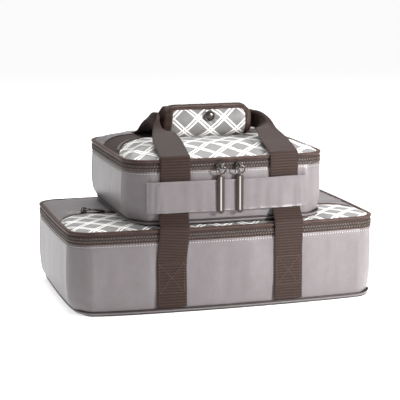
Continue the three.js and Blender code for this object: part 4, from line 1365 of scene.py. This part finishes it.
        for sewn in self.sewn:
            corners = [laid(sewn + u, z) for u, z in ((-half, low), (half, low), (half, high), (-half, high))]
            lines = [*zip(corners, [*corners[1:], corners[0]]), corners[::2], corners[1::2]]
            for start, end in lines:
                steps = [start.lerp(end, share / 12) for share in range(13)]
                line = [laid(step.x, step.z) for step in steps]
                places += [frame_at(point, along, outward) for point, along in spaced(line, 3.3)]
        publish(f"{self.side.value}_strap_box_stitching", scatter(stitch, places), BROWN_THREAD, "carriers")


@dataclass
class Sleeve:
    """The flat cloth sleeve on the upper carrier that the straps pass behind."""

    side: Side
    carrier: Carrier
    straps: Pair
    left: float = -104.0
    right: float = 103.0
    low: float = 125.0
    height: float = 39.5
    stand: float = 3.1

    def skin(self, x: float, z: float) -> Vector:
        """The middle of the cloth at a place on the face."""
        out = self.side.out
        wall = self.carrier.face(x) if out < 0 else self.carrier.rear
        from_end = min(x - self.left, self.right - x)
        ramp = ease(0.0, 7.0, from_end)
        strap = max(1 - ease(15.0, 30.0, abs(x - one)) for one in self.straps)
        stand = mix(CLEARANCE + CLOTH / 2, self.stand + CLOTH / 2 - 0.5 * (1 - strap), ramp)
        high = (z - self.low) / self.height
        hem = 0.55 * (1 - ease(0.0, 0.07, min(high, 1 - high)))
        left, right = self.straps
        near = math.exp(-((x - left + 24) / 9) ** 2) + 0.5 * math.exp(-((x - right - 24) / 9) ** 2)
        slow, quick = ripple(x / 13, high * 0.6, 2.0 + out), ripple(x / 4.5, high * 0.9, 5.0 + out)
        folds = ramp * (slow + 0.9 * near * quick)
        pull = 0.5 * ripple(x / 30, high * 1.2, 9.0 + out) * ramp
        return Vector((x, wall + out * (stand + hem + folds), z + pull * (2 * high - 1)))

    def build(self) -> None:
        """Builds the sleeve, its hems and their stitching."""
        wide = self.right - self.left

        def place(across: float, along: float) -> Vector:
            x = self.left + wide * (across - 0.012 * math.sin(TURN * across))
            return self.skin(x, self.low + self.height * along)

        bm = surface(150, 36, place, (wide, self.height))
        thicken(bm, -CLOTH)
        side = self.side.value
        sleeve = publish(f"{side}_sleeve_cloth", bm, GREY_CLOTH, "carriers", [f"{side}_strap_sleeve"])
        outward = Vector((0, self.side.out, 0))
        lifted = Vector((0, self.side.out * 0.7, 0))
        ends = (self.low + 2.6, self.low + self.height - 2.6)
        left, right = self.left + 1.5, self.right - 1.5
        lines = [[self.skin(mix(left, right, step / 90), z) + lifted for step in range(91)] for z in ends]
        lines += [[self.skin(x, mix(*ends, step / 20)) + lifted for step in range(21)]
                  for x in (self.left + 3.0, self.right - 3.0)]
        places = [frame_at(point, along, outward)
                  for line in lines for point, along in spaced(line, STITCH_PITCH)]
        topstitch((f"{side}_sleeve_stitching", f"{side}_sleeve_stitch_hole_shade"), places,
                  (1.5, 0.8, 0.95), (1.9, 0.9, 0.95))


# Handle wrap


@dataclass
class HandleWrap:
    """The padded wrap that gathers both loops: a back, a flap that snaps to it, and an underlap."""

    middle: float = 5.5
    height: float = 224.0
    length: float = 118.0
    half_height: float = 22.0
    half_depth: float = 16.0
    binding: float = 9.0
    corner: float = 17.0
    snap_x: float = 6.0
    snap_z: float = 231.0
    turns: list[float] = field(default_factory=list)

    def __post_init__(self) -> None:
        """Measures the oval, so that cloth lies on it without stretching."""
        self.turns = [0.0]
        for step in range(1, OVAL_STEPS + 1):
            near, far = self.oval((step - 1) / OVAL_STEPS, 0), self.oval(step / OVAL_STEPS, 0)
            self.turns.append(self.turns[-1] + (far - near).length)

    def oval(self, turn: float, depth: float) -> Vector:
        """A point of the wrap's section: turn 0 faces the back, and a quarter faces up."""
        return Vector((0, (self.half_depth - depth) * math.cos(TURN * turn),
                       self.height + (self.half_height - depth) * math.sin(TURN * turn)))

    def arc(self, turn: float) -> float:
        """The length of the skin from turn 0."""
        return self.turns[-1] * math.floor(turn) + self.turns[int(turn % 1.0 * OVAL_STEPS)]

    def turn_at(self, arc: float) -> float:
        """The turn at a length of skin from turn 0."""
        whole = math.floor(arc / self.turns[-1])
        left = arc - whole * self.turns[-1]
        low, high = 0, OVAL_STEPS
        while high - low > 1:
            middle = (low + high) // 2
            low, high = (middle, high) if self.turns[middle] <= left else (low, middle)
        step = self.turns[high] - self.turns[low]
        return whole + (low + (left - self.turns[low]) / step) / OVAL_STEPS

    def lay(self, x: float, arc: float, depth: float) -> Vector:
        """A point on the wrap, at a place along it, a length round its skin and a depth under it."""
        end = self.length / 2 - abs(x - self.middle)
        drawn = 2.4 * (1 - ease(-2.0, 16.0, end))
        point = self.oval(self.turn_at(arc), depth + drawn)
        point.x = x
        return point

    def edge(self, share: float, inset: float, foot: float, top: float) -> Pair:
        """A point of a panel's three-sided edge, from the foot of its left end over the top.

        Args:
            share: How far along the edge.
            inset: How far inside it.
            foot: The skin length at the panel's foot.
            top: The skin length at its free edge.

        Returns:
            The place on X and the skin length.
        """
        tall, radius = abs(top - foot), self.corner
        straight, across = tall - radius, self.length - 2 * radius
        bend = radius * math.pi / 2
        runs = [straight, bend, across, bend, straight]
        left = share * sum(runs)
        index = 0
        while index < 4 and left > runs[index]:
            left -= runs[index]
            index += 1
        at = left / runs[index]
        half = self.length / 2
        if index == 0:
            x, up = -half + inset, straight * at
        elif index == 1:
            x = -half + radius - (radius - inset) * math.cos(at * math.pi / 2)
            up = straight + (radius - inset) * math.sin(at * math.pi / 2)
        elif index == 2:
            x, up = mix(-half + radius, half - radius, at), tall - inset
        elif index == 3:
            x = half - radius + (radius - inset) * math.sin(at * math.pi / 2)
            up = straight + (radius - inset) * math.cos(at * math.pi / 2)
        else:
            x, up = half - inset, straight * (1 - at)
        return self.middle + x, foot + up * (1 if top > foot else -1)

    def panel(self, across: float, along: float, inset: float, foot: float, top: float) -> Pair:
        """A point inside a panel whose far corners are rounded."""
        half = self.length / 2 - inset
        x = -half * math.cos(math.pi * across)
        radius = max(self.corner - inset, 1.0)
        over = max(abs(x) - (half - radius), 0.0)
        drop = radius - math.sqrt(max(radius ** 2 - over ** 2, 0.0))
        tall = abs(top - foot) - inset - drop
        return self.middle + x, foot + tall * along * (1 if top > foot else -1)

    def snap_pull(self, x: float, z: float) -> float:
        """How far the snap draws the cloth in, with the creases that run from it."""
        dx, dz = x - self.snap_x, z - self.snap_z
        far = math.hypot(dx, dz)
        round_it = math.atan2(dz, dx)
        rays = math.sin(round_it * 9 + 1.2 * math.sin(round_it * 2))
        crease = rays * 0.42 * math.exp(-((far - 10) / 8) ** 2)
        return 2.0 * math.exp(-(far / 11) ** 2) + crease

    def build_panel(self, name: str, foot: float, top: float, body: str | Bend, node: str, pulled: bool,
                    shift: Pair) -> None:
        """One padded lattice panel.

        Args:
            name: The piece's name.
            foot: The skin length at its foot.
            top: The skin length at its free edge.
            body: What it rides on.
            node: The solid that it replaces.
            pulled: Whether the snap draws it in.
            shift: Where its pattern's crossing lies, along X and round the skin.
        """
        inset = self.binding - 2.5
        pattern: dict[tuple[int, ...], Pair] = {}

        def key_of(point: Vector) -> tuple[int, ...]:
            return tuple(round(value * 1000) for value in point)

        def place(across: float, along: float) -> Vector:
            x, arc = self.panel(across, along, inset, foot, top)
            near_end = self.length / 2 - abs(x - self.middle) - inset
            near_top = abs(top - arc) - inset
            plump = (1 - math.exp(-max(near_end, 0) / 6)) * (1 - math.exp(-max(near_top, 0) / 6))
            depth = 2.0 - 1.1 * plump + 0.25 * ripple(x / 12, arc / 12, foot)
            z = self.oval(self.turn_at(arc), 0).z
            if pulled:
                depth += self.snap_pull(x, z)
            point = self.lay(x, arc, depth)
            pattern[key_of(point)] = ((x - shift[0]) * MM, (arc - shift[1]) * MM)
            return point

        def printed(point: Vector, was: Vector) -> Pair:
            key = key_of(point / MM)
            if key in pattern:
                return pattern[key]
            return pattern[min(pattern, key=lambda other: sum(abs(a - b) for a, b in zip(other, key)))]

        bm = surface(110, 60, place)
        lay_pattern(bm, printed)
        outward = next(iter(bm.faces)).calc_center_median() / MM - Vector((self.middle, 0, self.height))
        outward.x = 0
        face_outward(bm, outward)
        thicken(bm, CLOTH)
        panel = publish(name, bm, LATTICE, body, [node])

    def build_rim(self, name: str, foot: float, top: float, body: str | Bend, nodes: Sequence[str],
                  width: float) -> None:
        """The folded binding round a panel's two ends and its free edge."""
        def place(share: float, around: float) -> Vector:
            turn = TURN * around
            across = squared(math.cos(turn), 0.8)
            inset = width / 2 - width / 2 * across
            x, arc = self.edge(share, inset, foot, top)
            rise = squared(math.sin(turn), 0.7)
            pucker = 0.35 * ripple(share * 46, around * 3, foot)
            return self.lay(x, arc, 3.1 - 2.9 * rise + pucker)

        bm = closed_form(240, 16, place, (abs(top - foot) * 2 + self.length, width * 2.4))
        publish(name, bm, BINDING, body, nodes)

    def build_lining(self, name: str, foot: float, top: float, body: str | Bend, node: str) -> None:
        """The pad behind a panel, in plain cloth."""
        def place(across: float, around: float) -> Vector:
            turn = TURN * around
            along = 0.5 - 0.5 * squared(math.cos(turn), 0.5)
            x, arc = self.panel(across, along, 3.4, foot, top)
            thick = squared(math.sin(turn), 0.5) * 2.5
            return self.lay(x, arc, 5.3 + thick + 0.2 * ripple(x / 9, arc / 9, foot))

        bm = closed_form(70, 36, place)
        pad = publish(name, bm, GREY_CLOTH, body, [node])

    def build_gather(self) -> None:
        """The end of the front strap's left half, bunched in pleats round the wrap's left end."""
        foot, top = self.arc(0.665), self.arc(0.3)

        def place(across: float, around: float) -> Vector:
            turn = TURN * around
            share = 0.5 - 0.5 * squared(math.cos(turn), 0.6)
            x = mix(-44.5, -60.5, across) - 1.5 * math.sin(share * 5 + 0.8)
            pleat = abs(math.sin(share * 8.4 + across * 2.1 + 0.7)) * mix(1.0, 1.7, across)
            rise = 0.8 * squared(math.sin(turn), 0.5)
            back = 10.5 * ease(0.45, 1.08, across) ** 2
            return self.lay(x, mix(foot, top, share), back - 0.9 - pleat - rise + 1.2 * ease(0.15, 0, across))

        bm = closed_form(40, 60, place, (16, 90))
        # A plain of 0.45 weakens the painted groove shade on the gathered end.
        plain = bm.verts.layers.float.new("plain")
        for vert in bm.verts:
            vert[plain] = 0.45
        publish("front_strap_gather", bm, WEBBING, "front_loop")

    def lathe(self, rows: Sequence[Pair], steps: int = 40) -> BMesh:
        """Turns a profile of radii and places on Y about the snap's axis."""
        def place(around: float, along: float) -> Vector:
            at = along * (len(rows) - 1)
            radius, y = rows[min(int(at + 1e-6), len(rows) - 1)]
            turn = TURN * around
            return Vector((self.snap_x + radius * math.cos(turn), y, self.snap_z + radius * math.sin(turn)))

        return closed_form(steps, len(rows) - 1, place)

    def build(self) -> None:
        """Builds the wrap and its snap."""
        front = self.arc(0.5) + 5.0
        flap = (self.arc(0.745), self.arc(0.285))
        fold = 202.8
        bend = Bend("rear_loop", "wrap_flap", Vector((self.middle, 4, fold)), Vector((self.middle, -3, fold)))
        self.build_panel("flap_lattice_panel", *flap, bend, "wrap_flap_cover", True, (-9.3, front - 10))
        self.build_lining("flap_padding", self.arc(0.735), flap[1], bend, "wrap_flap_pad")
        self.build_rim("flap_edge_binding", self.arc(0.738), flap[1], bend, ["wrap_flap_binding"],
                       self.binding)
        back = (self.arc(-0.245), self.arc(0.262))
        self.build_panel("back_lattice_panel", *back, "rear_loop", "wrap_back_cover", False, (-9.3, 0))
        self.build_lining("back_padding", self.arc(-0.225), back[1], "rear_loop", "wrap_back_pad")
        self.build_rim("back_edge_binding", self.arc(-0.228), back[1], "rear_loop", [], self.binding - 1)

        def tongue(across: float, around: float) -> Vector:
            turn = TURN * around
            along = 0.5 - 0.5 * squared(math.cos(turn), 0.4)
            x = self.middle + (across * 2 - 1) * (self.length / 2 - 0.5)
            arc = mix(self.arc(0.2), self.arc(0.46), along)
            return self.lay(x, arc, 8.8 + 0.6 * squared(math.sin(turn), 0.4))

        self.build_gather()
        bm = closed_form(60, 24, tongue, (self.length, 60))
        publish("wrap_tongue", bm, BINDING, "rear_loop", ["wrap_underlap"])
        skin = -self.half_depth * math.sqrt(1 - ((self.snap_z - self.height) / self.half_height) ** 2)
        rows = [(0.0, -3.4), (1.6, -3.33), (3.2, -3.05), (4.6, -2.5), (5.5, -1.9), (5.75, -1.65), (6.0, -1.7),
                (6.5, -1.75), (6.95, -1.4), (7.0, -0.9), (6.7, -0.45), (6.0, -0.25), (1.9, -0.2),
                (1.9, CLOTH + 5.6), (0.0, CLOTH + 5.6)]
        publish("snap_button", self.lathe([(radius, skin + 0.4 + y) for radius, y in rows]), GUNMETAL,
                "wrap_flap", ["snap_cap"], sharp=35)
        disc = -(WEBBING_THICKNESS + 3 * CLEARANCE)
        head = skin + CLOTH + 5.4 + 2 * CLEARANCE
        rows = [(0.0, head), (1.5, head), (1.9, head + 0.4), (1.9, disc - 1.2), (3.2, disc - 1.1),
                (3.5, disc - 0.8), (3.5, disc - 0.2), (3.3, disc), (0.0, disc)]
        publish("snap_post", self.lathe(rows), GUNMETAL, "rear_loop", ["snap_stud"], sharp=35)


# Zip sliders


@dataclass
class ZipSlider:
    """A zip's slider with its bridge, wire ring and bar, built facing forward and then set in place."""

    prefix: str
    turned: Matrix
    bar: float
    drop: float = 0.0
    width: float = 9.0
    length: float = 10.0
    thickness: float = 3.6
    outset: float = -5.35
    ring: float = 5.0
    wire: float = 0.8
    bar_width: float = 9.3
    bar_thickness: float = 2.6

    def set_in(self, bm: BMesh, swung: bool) -> BMesh:
        """Moves a mesh from the slider's own place to its place on the zip."""
        joint = next(one for one in frame["joints"] if one["name"] == f"{self.prefix}_pull_swing")
        eye = Vector(joint["pos_m"])
        swing = Matrix.Rotation(self.drop if swung else 0.0, 4, "X")
        back = Matrix.Translation((0, -self.outset * MM, 0))
        bmesh.ops.transform(bm, matrix=Matrix.Translation(eye) @ self.turned @ swing @ back, verts=bm.verts)
        return bm

    def shield(self, low: float, high: float, inset: float) -> BMesh:
        """One of the slider's two plates: shouldered at one end and drawn in at the other."""
        steps = 40

        def outline(share: float, shrink: float) -> Pair:
            turn = TURN * share
            x = squared(math.cos(turn), 0.45)
            z = squared(math.sin(turn), 0.5)
            waist = 1 - 0.2 * ease(-0.4, 1.0, x)
            return x * (self.length / 2 - shrink), z * (self.width / 2 * waist - shrink)

        rows = [(inset + 4.4, high), (inset + 0.9, high), (inset + 0.3, mix(high, low, 0.12)),
                (inset, mix(high, low, 0.4)), (inset, mix(high, low, 0.75)), (inset + 0.3, low),
                (inset + 4.4, low)]

        def place(around: float, along: float) -> Vector:
            shrink, y = rows[round(along * (len(rows) - 1))]
            x, z = outline(around, shrink)
            return Vector((x, y, z))

        return closed_form(steps, len(rows) - 1, place)

    def build(self) -> None:
        """Builds the slider on its body and the pull on its own."""
        bm = self.shield(-self.thickness + 1.3, -self.thickness, 0.0)
        for part in (self.shield(0.0, -1.3, 0.25), self.shield(-1.1, -2.5, 1.6), self.arch()):
            mesh = bpy.data.meshes.new("slider_part")
            part.to_mesh(mesh)
            part.free()
            bm.from_mesh(mesh)
            bpy.data.meshes.remove(mesh)
        slider, pull = f"{self.prefix}_slider", f"{self.prefix}_pull"
        publish(f"{self.prefix}_zip_slider", self.set_in(bm, False), GUNMETAL, slider, [slider], sharp=35)
        publish(f"{pull}_ring", self.set_in(self.wire_ring(), True), GUNMETAL, pull, [pull])
        # The bar is one metal: its dark plating is painted shade and its bright ridge a painted highlight.
        bar = self.set_in(self.faceted_bar(0.0, 0.0), True)
        publish(f"{pull}_bar", bar, SHADED_BAR_METAL, pull, sharp=BEVEL_ANGLE)
        if self.bar > LONG_BAR:
            ridge = self.set_in(self.faceted_bar(2.75, 0.25), True)
            publish(f"{pull}_ridge", ridge, LIT_RIDGE_METAL, pull, sharp=BEVEL_ANGLE)

    def arch(self) -> BMesh:
        """The bridge that holds the ring."""
        turns = [math.pi * step / 10 for step in range(11)]
        over = [(self.outset - 2.2 * math.sin(turn), 2.35 * math.cos(turn)) for turn in turns]
        path = [(-3.3, 2.35), (-4.3, 2.35), *over, (-4.3, -2.35), (-3.3, -2.35)]

        def place(around: float, along: float) -> Vector:
            step = round(along * (len(path) - 1))
            y, z = path[step]
            before, after = path[max(step - 1, 0)], path[min(step + 1, len(path) - 1)]
            run = Vector((0, after[0] - before[0], after[1] - before[1])).normalized()
            side = RIGHT.cross(run)
            turn = TURN * around
            return Vector((0, y, z)) + RIGHT * (1.1 * math.cos(turn)) + side * (0.6 * math.sin(turn))

        return closed_form(12, len(path) - 1, place)

    def wire_ring(self) -> BMesh:
        """The pull's wire ring."""
        def place(around: float, along: float) -> Vector:
            turn, section = TURN * around, TURN * along
            far = self.ring + self.wire * math.cos(section)
            return Vector((1.24 * far * math.sin(turn), self.outset + self.wire * math.sin(section),
                           -self.ring + far * math.cos(turn)))

        return surface(48, 12, place)

    def faceted_bar(self, narrower: float, prouder: float) -> BMesh:
        """The pull's bar: a flat ridge down its middle with a long bevel on every side.

        Args:
            narrower: How much narrower it is on each side, for the bright ridge that is a painted highlight.
            prouder: How much thicker it is on each face.
        """
        half = self.bar_width / 2 - narrower
        top = -2 * self.ring - self.bar_width / 2 + self.wire
        bottom = -2 * self.ring + self.wire - self.bar
        thick = self.bar_thickness / 2 + prouder

        def outline(share: float, inset: float) -> Pair:
            radius = half - inset
            turn = TURN * share
            middle = top if share < 0.5 else bottom
            return radius * math.cos(turn), middle + radius * math.sin(turn)

        deep = half * 0.62
        bevel = [(half, 1), (deep, 1), (0.5, 0.55), (0.15, 0.4), (0.0, 0.25)]
        rows = [*((inset, -share * thick) for inset, share in bevel),
                *((inset, share * thick) for inset, share in reversed(bevel))]

        def place(around: float, along: float) -> Vector:
            inset, y = rows[round(along * (len(rows) - 1))]
            x, z = outline(around * 41 / 42 if around < 1 else 0.0, min(inset, half - 0.01))
            return Vector((x, self.outset + y, z))

        return closed_form(42, len(rows) - 1, place)


# Studio


@dataclass(frozen=True)
class Lamp:
    """A square lamp: its places are in metres, its spread in degrees and its power in watts."""

    name: str
    place: Size
    aim: Size
    size: float
    spread: float
    power: float


LAMPS = (
    Lamp("key", (0.75, -0.9, 0.5), (0.17, -0.12, 0.1), size=0.25, spread=46, power=1.75),
    Lamp("top", (0.1, 0.9, 2.0), (0, 0, 0.12), size=1.2, spread=150, power=26),
    Lamp("left", (-1.3, 0.28, 0.5), (-0.2, 0, 0.12), size=0.5, spread=150, power=0.6),
)


@dataclass(frozen=True)
class Studio:
    """A white room with a pale floor, three lamps and the photograph's camera.

    The eye is in millimetres, the angles are in degrees and the lens is for a sensor 36 mm wide.
    """

    eye: tuple[float, float, float] = (-511.7, -1761.8, 451.2)
    yaw: float = 16.108
    pitch: float = 10.326
    roll: float = -0.216
    lens: float = 126.18

    def place_camera(self) -> None:
        """Puts the camera where the photograph was taken from."""
        camera = bpy.data.objects.new("camera", bpy.data.cameras.new("camera"))
        bpy.context.scene.collection.objects.link(camera)
        camera.data.lens, camera.data.sensor_width = self.lens, 36.0
        camera.data.clip_end = 100.0
        yaw, pitch = math.radians(self.yaw), math.radians(self.pitch)
        ahead = Vector((math.sin(yaw) * math.cos(pitch), math.cos(yaw) * math.cos(pitch), -math.sin(pitch)))
        right = ahead.cross(UP).normalized()
        above = right.cross(ahead)
        roll = math.radians(self.roll)
        right, above = (right * math.cos(roll) + above * math.sin(roll),
                        above * math.cos(roll) - right * math.sin(roll))
        turned = Matrix((right, above, -ahead)).transposed().to_4x4()
        camera.matrix_world = Matrix.Translation(Vector(self.eye) * MM) @ turned
        bpy.context.scene.camera = camera

    def lay_floor(self) -> None:
        """A large pale floor that fades into the background."""
        bm = bmesh.new()
        bmesh.ops.create_grid(bm, x_segments=8, y_segments=8, size=40)
        mesh = bpy.data.meshes.new("pale_floor")
        bm.to_mesh(mesh)
        bm.free()
        material = bpy.data.materials.new("white_studio_sweep")
        material.use_nodes = True
        shader = material.node_tree.nodes["Principled BSDF"]
        shader.inputs["Base Color"].default_value = linear("fdfdfd")
        shader.inputs["Roughness"].default_value = 0.9
        shader.inputs["Specular IOR Level"].default_value = 0.05
        shader.inputs["Emission Color"].default_value = (1, 1, 1, 1)
        shader.inputs["Emission Strength"].default_value = 0.55
        mesh.materials.append(material)
        ground = bpy.data.objects.new("pale_floor", mesh)
        bpy.context.scene.collection.objects.link(ground)

    def light(self) -> None:
        """A white room and its lamps: front right, high behind, and a weak one at the left."""
        world = bpy.data.worlds.new("white_room")
        world.use_nodes = True
        background = world.node_tree.nodes["Background"]
        background.inputs["Color"].default_value = (1, 1, 1, 1)
        background.inputs["Strength"].default_value = 0.42
        bpy.context.scene.world = world
        bpy.context.scene.view_settings.view_transform = "Standard"
        for lamp in LAMPS:
            light = bpy.data.lights.new(lamp.name, "AREA")
            light.shape, light.size, light.energy = "SQUARE", lamp.size, lamp.power
            light.spread = math.radians(lamp.spread)
            one = bpy.data.objects.new(lamp.name, light)
            bpy.context.scene.collection.objects.link(one)
            turned = (Vector(lamp.aim) - Vector(lamp.place)).to_track_quat("-Z", "Y").to_matrix().to_4x4()
            one.matrix_world = Matrix.Translation(lamp.place) @ turned


def main() -> None:
    """Builds the scene."""
    logging.basicConfig(level=logging.INFO, format="%(name)s %(message)s")
    noise.seed_set(7)
    studio = Studio()
    studio.place_camera()
    lower = Carrier(
        "lower", width=405, front=127.7, rear=123.5, corner=26, front_bow=10, side_bow=2.5, centre=0, floor=0,
        top=106.7, band=15.8, crown=2.7, pocket_left=-4, pocket_right=-30, zip_width=5, lid_body="carriers",
        straps=(-76.3, 76.3), seed=1.0)
    upper = Carrier(
        "upper", width=263, front=117, rear=123.5, corner=30, front_bow=6.4, side_bow=1.6, centre=2.7,
        floor=108.7, top=191.5, band=14.5, crown=10.6, pocket_left=24, pocket_right=22, zip_width=36,
        lid_body="upper_lid", straps=(-70.5, 76.8), pocket_corner=70, pocket_gap=8, print_at=(-9.3, -101),
        seed=21.0)
    lower.build(hinge=None)
    upper.build(hinge=121.2)
    sewn = (-76.3, 76.3)
    Strap(Side.FRONT, lower, upper, sewn, sleeved=(-70.5, 76.8), edged=(-68, 73.5)).build()
    Strap(Side.REAR, lower, upper, sewn, sleeved=(-66.65, 69.15), edged=(-57, 62)).build()
    Sleeve(Side.FRONT, upper, straps=(-69.2, 75.2)).build()
    Sleeve(Side.REAR, upper, straps=(-61.8, 65.6)).build()
    HandleWrap().build()
    flat = Matrix.Rotation(math.pi / 2, 4, "Z") @ Matrix.Rotation(-math.pi / 2, 4, "X")
    side = Matrix.Rotation(math.pi / 2, 4, "Z")
    for prefix in ("upper_left", "upper_right"):
        ZipSlider(prefix, Matrix.Identity(4), bar=46).build()
    for prefix in ("lower_front", "lower_rear"):
        ZipSlider(prefix, side, bar=46).build()
    for prefix in ("lower_pocket", "upper_pocket"):
        ZipSlider(prefix, flat, bar=15, drop=math.radians(8.6)).build()
    studio.lay_floor()
    studio.light()


if __name__ == "__main__":
    main()
